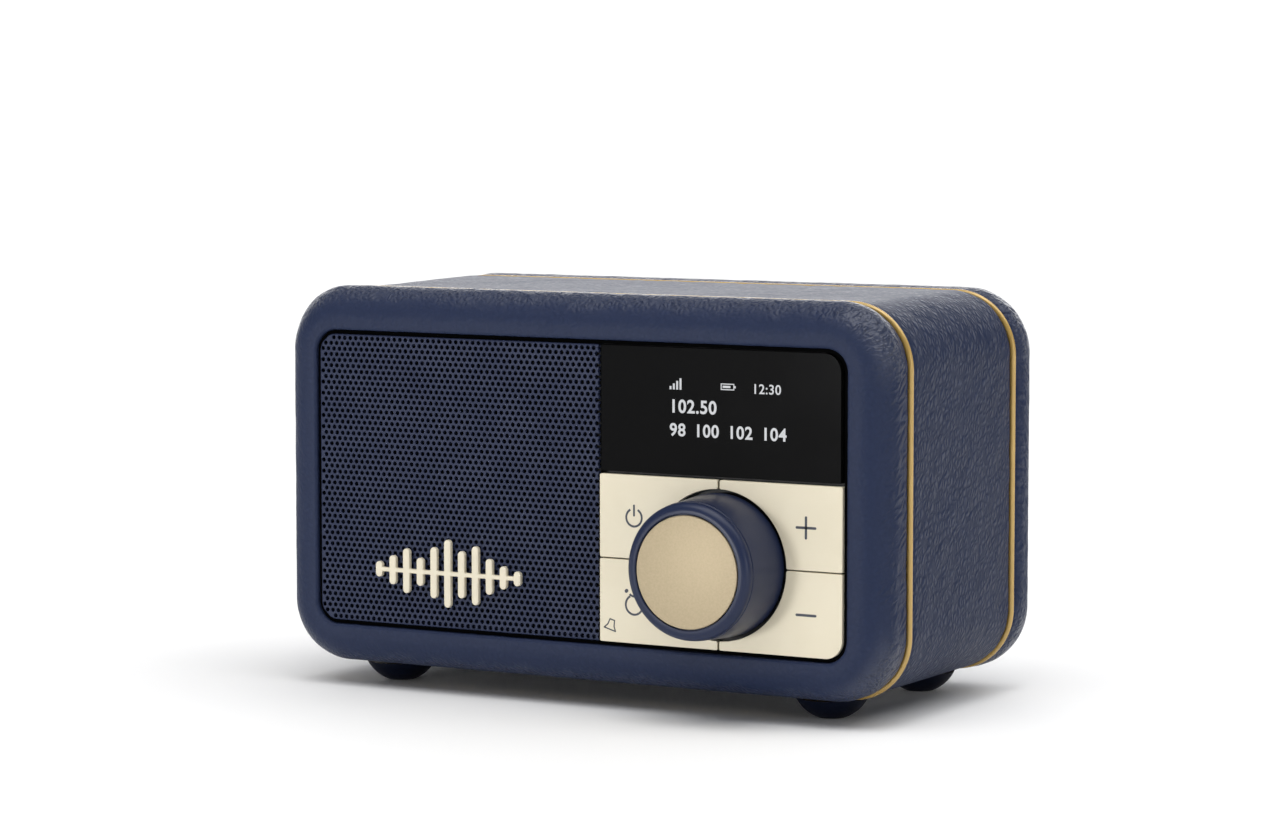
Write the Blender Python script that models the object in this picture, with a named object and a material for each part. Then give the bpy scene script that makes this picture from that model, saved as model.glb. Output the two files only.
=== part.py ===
"""A leather-covered portable radio: cabinet, front panel, loudspeaker, electronics and telescopic aerial.

Run with: blender --background --python part.py
Units are metres. X runs to the right seen from the front, Y runs back and Z runs up.
The origin is on the surface that the feet stand on, at the middle of the whole radio.
Depths are measured back from the cabinet's front plane.
"""

import math

import bmesh
import bpy
from mathutils import Vector

# ---- Cabinet: driving dimensions ----
WIDTH = 0.1300
HEIGHT = 0.0724
DEPTH = 0.0660
CORNER = 0.0120  # radius of the cabinet's four long edges
FOOT_HEIGHT = 0.0045
CENTRE_Z = FOOT_HEIGHT + HEIGHT / 2

GAP = 0.0003  # clearance that touching pieces keep
LEATHER = 0.0009
CORE_INSET = LEATHER + GAP
BORDER = 0.0077  # width of the frames around their openings
FILLET = 0.0060  # rounding of the frames' outer edges
LIP = 0.0007  # rounding where the leather turns into the opening
WRAP = 0.0050  # how far the leather runs into the opening
SHELL_WALL = 0.0040

# ---- Piping between the frames and the cabinet shell ----
PIPING_DEPTH = 0.0108
BEAD = 0.00053
BEAD_INSET = 0.00015
TAPE_INSET = 0.0050
TAPE_HALF = 0.00025
LEATHER_TO_PIPING = BEAD + 0.0001
CORE_TO_PIPING = TAPE_HALF + GAP

# ---- Front panel ----
PANEL_INSET = 0.0085
PANEL_CORNER = CORNER - PANEL_INSET
PANEL_HALF = WIDTH / 2 - PANEL_INSET
PANEL_LOW = FOOT_HEIGHT + PANEL_INSET
PANEL_TOP = FOOT_HEIGHT + HEIGHT - PANEL_INSET
BAFFLE_INSET = BORDER + GAP
BAFFLE_FLANGE_INSET = BORDER - LEATHER
BAFFLE_FRONT = 0.0026
BAFFLE_BACK = 0.0053
FLANGE_DEPTHS = (WRAP + GAP, 0.0070)
POCKET_INSET = 0.0095
GRILLE_RIGHT = 0.0057
KEYS_LEFT = 0.0060
DISPLAY_RIGHT = 0.0559
DISPLAY_LOW = 0.0449
KEYS_TOP = 0.0444
MODULE_LOW = (0.0150, 0.0476)  # the screen module's corners, as (x, z)
MODULE_HIGH = (0.0482, 0.0660)

# ---- Badge ----
BADGE_X = -0.0269
BADGE_Z = 0.0236
BADGE_PITCH = 0.0031
BADGE_BARS = (0.0015, 0.0028, 0.0043, 0.0027, 0.0049, 0.0065, 0.0045, 0.0056, 0.0034, 0.0022, 0.0014)

# ---- Controls ----
KNOB_X = 0.0311
KNOB_Z = 0.0287
KNOB_BASE = 0.0135
KNOB_RIM = 0.01275
KNOB_PROUD = 0.0120
KNOB_SKIRT_DEPTH = 0.0010
INSERT_RADIUS = 0.0105
KEY_CUTOUT = 0.0140
KEY_SEAM_X = 0.0004
KEY_SEAM_Z = 0.00025
KEY_DEPTHS = (0.0002, 0.0016)
KEY_POST = 0.0030
KEY_POST_END = 0.0046
KEY_REACH_X = 0.0180  # from the knob's axis to a key's post
KEY_REACH_Z = 0.0080
BOARD_DEPTHS = (0.0092, 0.0106)
SWITCH_FRONT = 0.0056
SHAFT_RADIUS = 0.0030

# ---- Loudspeaker and passive radiator ----
SPEAKER_X = (GRILLE_RIGHT - PANEL_HALF) / 2
SPEAKER_Z = CENTRE_Z
SPEAKER_HOLE = 0.0185
RADIATOR_Z = 0.0345
RADIATOR_HOLE = 0.0170
REAR_GRILLE = 0.0195

# ---- Rear panel, aerial and feet ----
REAR_FACE = DEPTH - 0.0008
REAR_INNER = DEPTH - 0.0034
AERIAL_X = 0.0440
AERIAL_Z = 0.0600
MAST_RADII = (0.0024, 0.00195, 0.0015, 0.00105)
MAST_WALL = 0.00025
MAST_DEPTH = DEPTH + 0.0029
CHEEK = 0.0026
PIN_HOLE = 0.0008
MAST_PLUG = 0.0070  # from the tilt pin to the closed end of the first tube's bore
MAST_END = 0.0940  # from the tilt pin to the first tube's open end
MAST_STEP = 0.0008
SOCKET_X = (0.0300, 0.0440)
SOCKET_Z = 0.0240
SOCKET_START = 0.0573
SOCKET_END = REAR_FACE - GAP
FOOT_X = 0.0473
FOOT_DEPTH = 0.0144
SCREW_INSET = 0.0120
SCREW_HEAD = 0.0020
RECESS = 0.0012  # how deep the rear grille and the screw heads are sunk

FRONT_Y = -(MAST_DEPTH + CHEEK - KNOB_PROUD) / 2  # puts the origin at the middle of the depth

CORNER_STEPS = 5
TURN_STEPS = 24

MATERIALS = {
    # name: (colour, roughness, metallic)
    "navy_leather": ((0.055, 0.072, 0.125), 0.55, 0.0),
    "gold_piping": ((0.62, 0.43, 0.16), 0.35, 0.6),
    "frame_wood": ((0.50, 0.36, 0.22), 0.75, 0.0),
    "navy_metal": ((0.050, 0.065, 0.125), 0.45, 0.5),
    "navy_plastic": ((0.030, 0.040, 0.085), 0.45, 0.0),
    "black_plastic": ((0.012, 0.012, 0.013), 0.5, 0.0),
    "black_gloss": ((0.010, 0.010, 0.011), 0.12, 0.0),
    "cream_plastic": ((0.83, 0.77, 0.62), 0.45, 0.0),
    "champagne_metal": ((0.62, 0.53, 0.37), 0.4, 0.7),
    "steel": ((0.55, 0.55, 0.56), 0.3, 1.0),
    "chrome": ((0.75, 0.75, 0.77), 0.12, 1.0),
    "ferrite": ((0.06, 0.06, 0.065), 0.7, 0.0),
    "circuit_board": ((0.02, 0.16, 0.07), 0.5, 0.0),
    "copper_coil": ((0.55, 0.22, 0.08), 0.35, 1.0),
    "paper_cone": ((0.03, 0.03, 0.032), 0.85, 0.0),
    "rubber": ((0.015, 0.016, 0.022), 0.75, 0.0),
    "amber_cloth": ((0.55, 0.33, 0.12), 0.85, 0.0),
    "cell_wrap": ((0.10, 0.30, 0.45), 0.35, 0.0),
}


# ---- Scene helpers ----
def clear_scene():
    for obj in list(bpy.data.objects):
        bpy.data.objects.remove(obj)


def make_materials():
    for name, (colour, roughness, metallic) in MATERIALS.items():
        material = bpy.data.materials.new(name)
        material.use_nodes = True
        shader = material.node_tree.nodes["Principled BSDF"]
        shader.inputs["Base Color"].default_value = (*colour, 1.0)
        shader.inputs["Roughness"].default_value = roughness
        shader.inputs["Metallic"].default_value = metallic


def empty(name, location=(0, 0, 0), parent=None):
    obj = bpy.data.objects.new(name, None)
    bpy.context.scene.collection.objects.link(obj)
    obj.location = location
    obj.parent = parent
    return obj


def add(name, bm, material, location=(0, 0, 0), parent=None):
    """Makes one named object of a bmesh, with its faces pointing out and round faces shaded smooth."""
    bmesh.ops.remove_doubles(bm, verts=bm.verts, dist=1e-7)
    bmesh.ops.recalc_face_normals(bm, faces=bm.faces)
    mesh = bpy.data.meshes.new(name)
    bm.to_mesh(mesh)
    bm.free()
    mesh.shade_smooth()
    mesh.set_sharp_from_angle(angle=math.radians(35))
    obj = bpy.data.objects.new(name, mesh)
    bpy.context.scene.collection.objects.link(obj)
    mesh.materials.append(bpy.data.materials[material])
    obj.location = location
    obj.parent = parent
    return obj


def helper(obj):
    """Marks a cutter or another guide, which is no part of the radio."""
    obj.hide_render = True
    obj.display_type = "WIRE"
    return obj


def boolean(obj, other, operation="DIFFERENCE"):
    modifier = obj.modifiers.new(other.name, "BOOLEAN")
    modifier.object = helper(other)
    modifier.operation = operation
    return obj


# ---- Shape helpers ----
def arc(centre, radius, start, end, steps):
    """Points of an arc in a plane, both ends included. Angles are in degrees."""
    points = []
    for step in range(steps + 1):
        angle = math.radians(start + (end - start) * step / steps)
        points.append((centre[0] + radius * math.cos(angle), centre[1] + radius * math.sin(angle)))
    return points


def rounded_outline(width, height, radius, steps=CORNER_STEPS):
    """(x, z) points of a rounded rectangle about its own middle."""
    points = []
    for quarter, (side, up) in enumerate(((1, 1), (-1, 1), (-1, -1), (1, -1))):
        centre = (side * (width / 2 - radius), up * (height / 2 - radius))
        points += arc(centre, radius, 90 * quarter, 90 * quarter + 90, steps)
    return points


def cabinet_outline(inset):
    """The cabinet's outline moved inwards by inset, with its corners still parallel."""
    return rounded_outline(WIDTH - 2 * inset, HEIGHT - 2 * inset, CORNER - inset)


def cabinet_sweep(profile, closed=True):
    """Carries (inset, depth) points round the cabinet's outline. An open profile gets a cap at each end."""
    bm = bmesh.new()
    rings = []
    for inset, depth in profile:
        rings.append([bm.verts.new((x, depth, z)) for x, z in cabinet_outline(inset)])
    pairs = list(zip(rings, rings[1:]))
    if closed:
        pairs.append((rings[-1], rings[0]))
    else:
        bm.faces.new(rings[0])
        bm.faces.new(rings[-1])
    for one, other in pairs:
        for i in range(len(one)):
            j = (i + 1) % len(one)
            bm.faces.new((one[i], one[j], other[j], other[i]))
    return bm


def extruded(outline, shift):
    """The solid that a flat outline of 3-D points makes when it is carried along shift."""
    bm = bmesh.new()
    near = [bm.verts.new(point) for point in outline]
    far = [bm.verts.new(Vector(point) + Vector(shift)) for point in outline]
    bm.faces.new(near)
    bm.faces.new(far)
    for i in range(len(near)):
        j = (i + 1) % len(near)
        bm.faces.new((near[i], near[j], far[j], far[i]))
    return bm


def slab(outline, front, back):
    """Extrudes (x, z) points from one depth to another."""
    return extruded([(x, front, z) for x, z in outline], (0, back - front, 0))


def block(low, high):
    bm = bmesh.new()
    bmesh.ops.create_cube(bm, size=1.0)
    size = Vector(high) - Vector(low)
    bmesh.ops.scale(bm, vec=size, verts=bm.verts)
    bmesh.ops.translate(bm, verts=bm.verts, vec=(Vector(high) + Vector(low)) / 2)
    return bm


def plate(low, high, front, back):
    """A block between two (x, z) corners, from one depth to another."""
    return block((low[0], front, low[1]), (high[0], back, high[1]))


def square_bar(half, front, back):
    """A square bar along Y, about its own middle. half is half of its width."""
    return plate((-half, -half), (half, half), front, back)


def turned(profile, steps=TURN_STEPS, axis="Y"):
    """Spins a closed outline of (radius, distance along the axis) points once round that axis."""
    place = {"X": lambda r, t: (t, r, 0), "Y": lambda r, t: (r, t, 0), "Z": lambda r, t: (r, 0, t)}[axis]
    bm = bmesh.new()
    verts = [bm.verts.new(place(r, t)) for r, t in profile]
    for i in range(len(profile)):
        j = (i + 1) % len(profile)
        if profile[i][0] or profile[j][0]:  # a line along the axis itself makes no face
            bm.edges.new((verts[i], verts[j]))
    bmesh.ops.spin(
        bm, geom=list(bm.verts) + list(bm.edges), cent=(0, 0, 0), axis=place(0, 1),
        angle=math.tau, steps=steps, use_merge=True,
    )
    bmesh.ops.remove_doubles(bm, verts=bm.verts, dist=1e-7)
    return bm


def rod(radius, start, end, steps=TURN_STEPS, axis="Y"):
    return turned([(0, start), (radius, start), (radius, end), (0, end)], steps, axis)


def tube(outer, inner, start, end, steps=TURN_STEPS, axis="Y"):
    return turned([(inner, start), (outer, start), (outer, end), (inner, end)], steps, axis)


def merged(*parts):
    """Several bmeshes that stay clear of each other, as one cutter."""
    bm = bmesh.new()
    for part, offset in parts:
        first = len(bm.verts)
        mesh = bpy.data.meshes.new("part")
        part.to_mesh(mesh)
        part.free()
        bm.from_mesh(mesh)
        bpy.data.meshes.remove(mesh)
        bm.verts.ensure_lookup_table()
        bmesh.ops.translate(bm, verts=bm.verts[first:], vec=offset)
    return bm


def behind(profile):
    """The same profile on the rear frame, which mirrors the front one."""
    return [(inset, DEPTH - depth) for inset, depth in profile]


# ---- Cabinet ----
def leather_profile():
    """The leather from the piping over the frame's rounded edge and into the opening."""
    end = PIPING_DEPTH - LEATHER_TO_PIPING
    outside = [(0, end)]
    outside += arc((FILLET, FILLET), FILLET, 180, 270, 4)
    outside += arc((BORDER - LIP, LIP), LIP, 270, 360, 2)
    outside += [(BORDER, WRAP)]
    inside = [(BORDER - LEATHER, WRAP), (BORDER - LEATHER, LEATHER)]
    inside += arc((FILLET, FILLET), FILLET - LEATHER, 270, 180, 4)
    return outside + inside + [(LEATHER, end)]


def core_profile():
    end = PIPING_DEPTH - CORE_TO_PIPING
    profile = [(CORE_INSET, end)]
    profile += arc((FILLET, FILLET), FILLET - CORE_INSET, 180, 270, 3)
    return profile + [(BORDER - CORE_INSET, CORE_INSET), (BORDER - CORE_INSET, end)]


def piping_profile():
    """A round bead with the tape that is clamped between the frame and the shell."""
    centre = (BEAD_INSET, PIPING_DEPTH)
    bead = arc(centre, BEAD, 22, 338, 6)
    return bead + [(TAPE_INSET, PIPING_DEPTH - TAPE_HALF), (TAPE_INSET, PIPING_DEPTH + TAPE_HALF)]


def sleeve_profile(inset, thickness, clear):
    """A layer of the cabinet's middle, which keeps clear of the piping at both ends."""
    front, back = PIPING_DEPTH + clear, DEPTH - PIPING_DEPTH - clear
    return [(inset, front), (inset, back), (inset + thickness, back), (inset + thickness, front)]


def foot_centres():
    return [(side * FOOT_X, depth) for depth in (FOOT_DEPTH, DEPTH - FOOT_DEPTH) for side in (-1, 1)]


def screw_centres():
    reach_x = WIDTH / 2 - SCREW_INSET
    reach_z = HEIGHT / 2 - SCREW_INSET
    return [(side * reach_x, CENTRE_Z + up * reach_z) for up in (-1, 1) for side in (-1, 1)]


def make_cabinet(radio):
    at_middle = (0, 0, CENTRE_Z)
    rings = (
        ("frame_leather", leather_profile, "navy_leather"),
        ("frame_core", core_profile, "frame_wood"),
        ("piping", piping_profile, "gold_piping"),
    )
    for end, fit in (("front", list), ("rear", behind)):
        for name, profile, material in rings:
            add(f"{end}_{name}", cabinet_sweep(fit(profile())), material, at_middle, radio)

    sides = cabinet_sweep(sleeve_profile(0, LEATHER, LEATHER_TO_PIPING))
    leather = add("cabinet_leather", sides, "navy_leather", at_middle, radio)
    walls = cabinet_sweep(sleeve_profile(CORE_INSET, SHELL_WALL, CORE_TO_PIPING))
    shell = add("cabinet_shell", walls, "frame_wood", at_middle, radio)

    hole_radius, hole_top = 0.0021, 0.0120
    holes = [(rod(hole_radius, 0, hole_top, 12, "Z"), (x, depth, 0)) for x, depth in foot_centres()]
    cutter = add("foot_holes", merged(*holes), "frame_wood", parent=radio)
    boolean(leather, cutter)
    add_screw_bosses(shell, radio)
    boolean(shell, cutter)


def add_screw_bosses(shell, radio):
    """A block in each rear corner of the shell, with a boss that the rear panel's screw bites into."""
    wall, width = 0.0045, 0.0100
    block_front, block_back = 0.0440, 0.0535
    boss_radius, boss_front, boss_back = 0.0030, 0.0500, 0.0585
    hole_radius, hole_front, hole_back = 0.0014, 0.0480, 0.0600
    reach_x = WIDTH / 2 - wall - width / 2
    reach_z = HEIGHT / 2 - wall - width / 2
    blocks, bosses, holes = [], [], []
    for x, z in screw_centres():
        middle = (math.copysign(reach_x, x), 0, CENTRE_Z + math.copysign(reach_z, z - CENTRE_Z))
        blocks.append((square_bar(width / 2, block_front, block_back), middle))
        bosses.append((rod(boss_radius, boss_front, boss_back, 12), (x, 0, z)))
        holes.append((rod(hole_radius, hole_front, hole_back, 10), (x, 0, z)))
    boolean(shell, add("shell_blocks", merged(*blocks), "frame_wood", parent=radio), "UNION")
    boolean(shell, add("shell_bosses", merged(*bosses), "frame_wood", parent=radio), "UNION")
    boolean(shell, add("shell_holes", merged(*holes), "frame_wood", parent=radio))


def make_feet(radio):
    """Domed feet with a flat pad under them and a spigot pressed up into the cabinet."""
    dome, pad, top = 0.0075, 0.0024, 0.0038
    spigot, spigot_top = 0.0018, 0.0093
    steps, crowding = 5, 1.3  # the rings lie closer together near the pad
    lift = dome - math.sqrt(dome**2 - pad**2)
    profile = [(0, 0)]
    for step in range(steps + 1):
        height = top * (step / steps) ** crowding
        profile.append((math.sqrt(dome**2 - (dome - lift - height) ** 2), height))
    profile += [(spigot, top), (spigot, spigot_top), (0, spigot_top)]
    names = ("foot_front_left", "foot_front_right", "foot_rear_left", "foot_rear_right")
    for name, (x, depth) in zip(names, foot_centres()):
        add(name, turned(profile, 18, "Z"), "rubber", (x, depth, 0), radio)


# ---- Front panel ----
def make_front_baffle(radio):
    """The moulded panel that carries the grille, the window, the keys and the loudspeaker."""
    front, back = FLANGE_DEPTHS
    profile = cabinet_sweep([
        (BAFFLE_INSET, BAFFLE_FRONT), (BAFFLE_INSET, front), (BAFFLE_FLANGE_INSET, front),
        (BAFFLE_FLANGE_INSET, back), (POCKET_INSET, back), (POCKET_INSET, BAFFLE_BACK),
    ], closed=False)
    baffle = add("front_baffle", profile, "black_plastic", (0, 0, CENTRE_Z), radio)
    through = (0.0010, 0.0080)
    bush_hole, slot, module_clear = 0.0048, KEY_POST / 2 + GAP, 0.0007
    low = [place - module_clear for place in MODULE_LOW]
    high = [place + module_clear for place in MODULE_HIGH]
    cuts = [(rod(SPEAKER_HOLE, *through, 32), (SPEAKER_X, 0, SPEAKER_Z))]
    cuts += [(rod(bush_hole, *through, 16), (KNOB_X, 0, KNOB_Z))]
    cuts += [(square_bar(slot, *through), (x, 0, z)) for x, z in key_posts().values()]
    cuts += [(plate(low, high, *through), (0, 0, 0))]
    boolean(baffle, add("baffle_holes", merged(*cuts), "black_plastic", parent=radio))


def make_front_gasket(radio):
    """The black strip that fills the line between the frame and the front panel."""
    overlap = 0.00015
    inner, outer = PANEL_INSET - overlap, BORDER + overlap
    front, back = 0.0009, BAFFLE_FRONT - GAP
    profile = [(outer, front), (outer, back), (inner, back), (inner, front)]
    add("front_gasket", cabinet_sweep(profile), "rubber", (0, 0, CENTRE_Z), radio)


def corner(centre_x, centre_z, start):
    """A quarter of the front panel's rounded corner."""
    return arc((centre_x, centre_z), PANEL_CORNER, start, start + 90, CORNER_STEPS)


def grille_outline(inset=0.0):
    """A rectangle with its two left corners rounded, moved inwards by inset."""
    radius = PANEL_CORNER - inset
    left, low, top = -PANEL_HALF + inset, PANEL_LOW + inset, PANEL_TOP - inset
    right = GRILLE_RIGHT - inset
    outline = [(right, low), (right, top)]
    outline += arc((left + radius, top - radius), radius, 90, 180, CORNER_STEPS)
    outline += arc((left + radius, low + radius), radius, 180, 270, CORNER_STEPS)
    return outline


def make_grille(radio):
    """The pressed grille: a thin face with its edge turned back to rest on the baffle."""
    face, back, rim = (0.0003, 0.0011), BAFFLE_FRONT - GAP, 0.0007
    grille = add("speaker_grille", slab(grille_outline(), face[0], back), "navy_metal", parent=radio)
    inside = slab(grille_outline(rim), face[1], back + GAP)
    boolean(grille, add("grille_inside", inside, "navy_metal", parent=radio))


def make_badge(radio):
    """A plain badge on the grille: upright rounded bars, like a sound wave, on one level bar."""
    half, rail, depths = 0.00075, 0.0004, (-0.0010, 0.0)
    upper = []
    for place, height in enumerate(BADGE_BARS):
        x = (place - len(BADGE_BARS) // 2) * BADGE_PITCH
        ends = arc((x, height - half), half, 180, 0, 4)
        upper += [(x - half, rail)] + ends + [(x + half, rail)]
    lower = [(x, -z) for x, z in reversed(upper)]
    add("grille_badge", slab(upper + lower, *depths), "cream_plastic", (BADGE_X, 0, BADGE_Z), radio)


def make_display(radio):
    """The black window flush with the keys, and the screen module behind it."""
    window_front, window_back = 0.0007, BAFFLE_FRONT - GAP
    outline = [(KEYS_LEFT, PANEL_TOP), (KEYS_LEFT, DISPLAY_LOW), (DISPLAY_RIGHT, DISPLAY_LOW)]
    outline += corner(DISPLAY_RIGHT - PANEL_CORNER, PANEL_TOP - PANEL_CORNER, 0)
    add("display_window", slab(outline, window_front, window_back), "black_gloss", parent=radio)
    module = plate(MODULE_LOW, MODULE_HIGH, BAFFLE_FRONT, BOARD_DEPTHS[0] - GAP)
    add("display_module", module, "black_gloss", parent=radio)


def key_posts():
    """Where each key's post stands, as (x, z)."""
    left, right = KNOB_X - KEY_REACH_X, KNOB_X + KEY_REACH_X
    upper, lower = KNOB_Z + KEY_REACH_Z, KNOB_Z - KEY_REACH_Z
    return {
        "button_power": (left, upper),
        "button_alarm": (left, lower),
        "button_volume_up": (right, upper),
        "button_volume_down": (right, lower),
    }


def key_outline(side, up):
    """One quarter of the key field, with the knob's circle taken out of its inner corner."""
    edge_x = KNOB_X + side * KEY_SEAM_X / 2
    edge_z = KNOB_Z + up * KEY_SEAM_Z / 2
    outer_x = PANEL_HALF if side > 0 else KEYS_LEFT
    outer_z = KEYS_TOP if up > 0 else PANEL_LOW
    start = math.degrees(math.asin(KEY_SEAM_Z / 2 / KEY_CUTOUT))
    end = math.degrees(math.acos(KEY_SEAM_X / 2 / KEY_CUTOUT))
    ring = arc((0, 0), KEY_CUTOUT, start, end, 8)
    outline = [(KNOB_X + side * x, KNOB_Z + up * z) for x, z in ring]
    outline += [(edge_x, outer_z)]
    if side > 0 and up < 0:
        outline += corner(outer_x - PANEL_CORNER, outer_z + PANEL_CORNER, 270)
    else:
        outline += [(outer_x, outer_z)]
    return outline + [(outer_x, edge_z)]


def make_keys(radio):
    for name, (x, z) in key_posts().items():
        side = math.copysign(1, x - KNOB_X)
        up = math.copysign(1, z - KNOB_Z)
        outline = [(px - x, pz - z) for px, pz in key_outline(side, up)]
        key = add(name, slab(outline, *KEY_DEPTHS), "cream_plastic", (x, 0, z), radio)
        post = square_bar(KEY_POST / 2, KEY_DEPTHS[1] - GAP, KEY_POST_END)
        boolean(key, add(f"{name}_post", post, "cream_plastic", (x, 0, z), radio), "UNION")


# ---- Knob and rotary encoder ----
def make_control_board(radio):
    """The front circuit board, with a push switch under each key."""
    front, back = BOARD_DEPTHS
    low, high = (0.0080, 0.0140), (0.0550, 0.0670)
    board = add("control_board", plate(low, high, front, back), "circuit_board", parent=radio)
    half = 0.0030
    switches = [(square_bar(half, SWITCH_FRONT, front + GAP), (x, 0, z)) for x, z in key_posts().values()]
    boolean(board, add("key_switches", merged(*switches), "circuit_board", parent=radio), "UNION")


def make_encoder(radio):
    """A rotary encoder: a threaded bush on a square body. Its shaft turns, and pushes a plunger."""
    place = (KNOB_X, 0, KNOB_Z)
    half, front, back = 0.0060, SWITCH_FRONT, 0.0089
    bush_radius, bush_front, bore = 0.0044, -0.0015, 0.0033
    encoder = add("encoder_body", square_bar(half, front, back), "steel", place, radio)
    bush = rod(bush_radius, bush_front, front + GAP, 20)
    boolean(encoder, add("encoder_bush", bush, "steel", place, radio), "UNION")
    hole = rod(bore, 2 * bush_front, back + GAP, 20)
    boolean(encoder, add("encoder_bore", hole, "steel", place, radio))

    pushed = empty("knob_push_axis", place, radio)
    plunger = rod(radius=0.0026, start=0.0076, end=0.0083, steps=16)
    add("encoder_plunger", plunger, "black_plastic", parent=pushed)
    shaft = rod(SHAFT_RADIUS, start=-0.0100, end=0.0073, steps=20)
    add("encoder_shaft", shaft, "steel", parent=pushed)
    return pushed


def make_knob(axis):
    """A hollow knob with a boss for the shaft and a recess for its metal disc."""
    skirt, skirt_edge, wall, taper = KNOB_SKIRT_DEPTH, -0.0006, 0.0016, 0.0004
    bore, bore_end = SHAFT_RADIUS + 0.0002, -0.0105
    boss, boss_end, ceiling = 0.0052, -0.0027, -0.0098
    face, edge = -KNOB_PROUD, 0.0016
    recess, rim = face + 0.0008, INSERT_RADIUS + 0.0002
    profile = [(KNOB_BASE, skirt), (KNOB_BASE, skirt_edge)]
    profile += arc((KNOB_RIM - edge, face + edge), edge, -2, -90, 5)
    profile += [(rim, face), (rim, recess), (0, recess), (0, bore_end), (bore, bore_end)]
    profile += [(bore, boss_end), (boss, boss_end), (boss, ceiling)]
    profile += [(KNOB_RIM - wall - taper, ceiling), (KNOB_BASE - wall, skirt)]
    add("knob_body", turned(profile, 32), "navy_plastic", parent=axis)
    disc = rod(INSERT_RADIUS, face + 0.0001, recess - GAP, 32)
    add("knob_insert", disc, "champagne_metal", parent=axis)


# ---- Loudspeaker ----
def basket_profile():
    """The basket's wall: a flat rim at the front, narrowing to a floor with a hole in it."""
    front, shoulder, floor, back = 0.0063, 0.0075, 0.0182, 0.0190
    rim, ledge, mouth, neck, throat = 0.0223, 0.0202, 0.0183, 0.0136, 0.0086
    wall, slope = 0.0007, 0.0002
    return [
        (rim, front), (rim, shoulder), (ledge, shoulder), (neck, back), (throat, back),
        (throat, floor), (neck - wall, floor), (mouth, shoulder - slope), (mouth, front),
    ]


def yoke_profile():
    """The rear plate with the pole that stands inside the voice coil."""
    pole, pole_front = 0.0065, 0.0195
    radius, front, back = 0.0130, 0.0279, 0.0304
    return [(0, pole_front), (pole, pole_front), (pole, front), (radius, front), (radius, back), (0, back)]


def make_speaker_motor(place, radio):
    """The parts that don't move: basket, plates and magnet."""
    basket = add("speaker_basket", turned(basket_profile()), "steel", place, radio)
    reach, half, front, back = 0.0260, 0.0055, 0.0096, 0.0162
    upright = plate((-half, -reach), (half, reach), front, back)
    level = plate((-reach, -half), (reach, half), front, back)
    boolean(basket, add("basket_windows_upright", upright, "steel", place, radio))
    boolean(basket, add("basket_windows_level", level, "steel", place, radio))
    top_plate = tube(outer=0.0130, inner=0.0079, start=0.0193, end=0.0223)
    add("speaker_top_plate", top_plate, "steel", place, radio)
    magnet = tube(outer=0.0144, inner=0.0086, start=0.0226, end=0.0276)
    add("speaker_magnet", magnet, "ferrite", place, radio)
    add("speaker_yoke", turned(yoke_profile()), "steel", place, radio)


def half_roll(lips, roll, front, thickness):
    """A flat ring between two radii, with a half-round roll in it that bulges to the front."""
    inner, outer = lips
    centre, radius = roll
    back = front + thickness
    outside = arc((centre, front), radius, 360, 180, 5)
    inside = arc((centre, back), radius - thickness, 180, 360, 4)
    return [(outer, front)] + outside + [(inner, front), (inner, back)] + inside + [(outer, back)]


def cone_profile():
    """A straight paper wall with a narrow flat lip for the surround."""
    inner, outer, lip = 0.0075, 0.0145, 0.0150
    back, thickness = 0.0142, 0.0007
    lip_front, lip_back, front, wall_front = 0.0064, 0.0069, 0.0073, 0.0070
    return [
        (inner, back), (outer - 0.0004, wall_front), (lip, lip_front),
        (lip, lip_back), (outer, front), (inner, back + thickness),
    ]


def dust_cap_profile():
    """A thin dome over the middle of the cone."""
    rim, rise, front, thickness = 0.0083, 0.0024, 0.0105, 0.0004
    ball = (rim**2 + rise**2) / (2 * rise)
    sweep = math.degrees(math.asin(rim / ball))
    centre = (0, front + ball)
    outside = arc(centre, ball, 270, 270 + sweep, 3)
    return outside + arc(centre, ball - thickness, 270 + sweep, 270, 3)


def coil_profile():
    """A thin former with the winding as a thicker band round its middle."""
    inner, former, winding = 0.0070, 0.00725, 0.00755
    front, winding_front, winding_back, back = 0.0134, 0.0190, 0.0226, 0.0235
    return [
        (inner, front), (former, front), (former, winding_front), (winding, winding_front),
        (winding, winding_back), (former, winding_back), (former, back), (inner, back),
    ]


def spider_profile():
    """A folded cloth ring that keeps the coil in the middle of its gap."""
    inner, outer, depth, ripple, thickness, folds = 0.0078, 0.0128, 0.0168, 0.0002, 0.0004, 4
    front = []
    for fold in range(folds + 1):
        front.append((inner + (outer - inner) * fold / folds, depth + ripple * (-1) ** fold))
    return front + [(radius, place + thickness) for radius, place in reversed(front)]


def make_speaker_cone(place, axis, radio):
    """The moving cone with its cap and coil, and the two soft rings that hold it."""
    surround = half_roll(lips=(0.0138, 0.0200), roll=(0.0165, 0.0013), front=0.0056, thickness=0.0004)
    add("speaker_surround", turned(surround), "rubber", place, radio)
    add("speaker_cone", turned(cone_profile()), "paper_cone", parent=axis)
    add("speaker_dust_cap", turned(dust_cap_profile(), 20), "paper_cone", parent=axis)
    add("voice_coil", turned(coil_profile(), 20), "copper_coil", parent=axis)
    add("speaker_spider", turned(spider_profile(), 20), "amber_cloth", place, radio)


def make_passive_radiator(place, axis, radio):
    """The unpowered cone in the rear panel, behind its own round grille."""
    surround = half_roll(lips=(0.0102, 0.0188), roll=(0.0138, 0.0020), front=0.0619, thickness=0.0004)
    add("passive_surround", turned(surround), "rubber", place, radio)
    add("passive_plate", rod(radius=0.0114, start=0.0605, end=0.0616), "ferrite", parent=axis)


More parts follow.
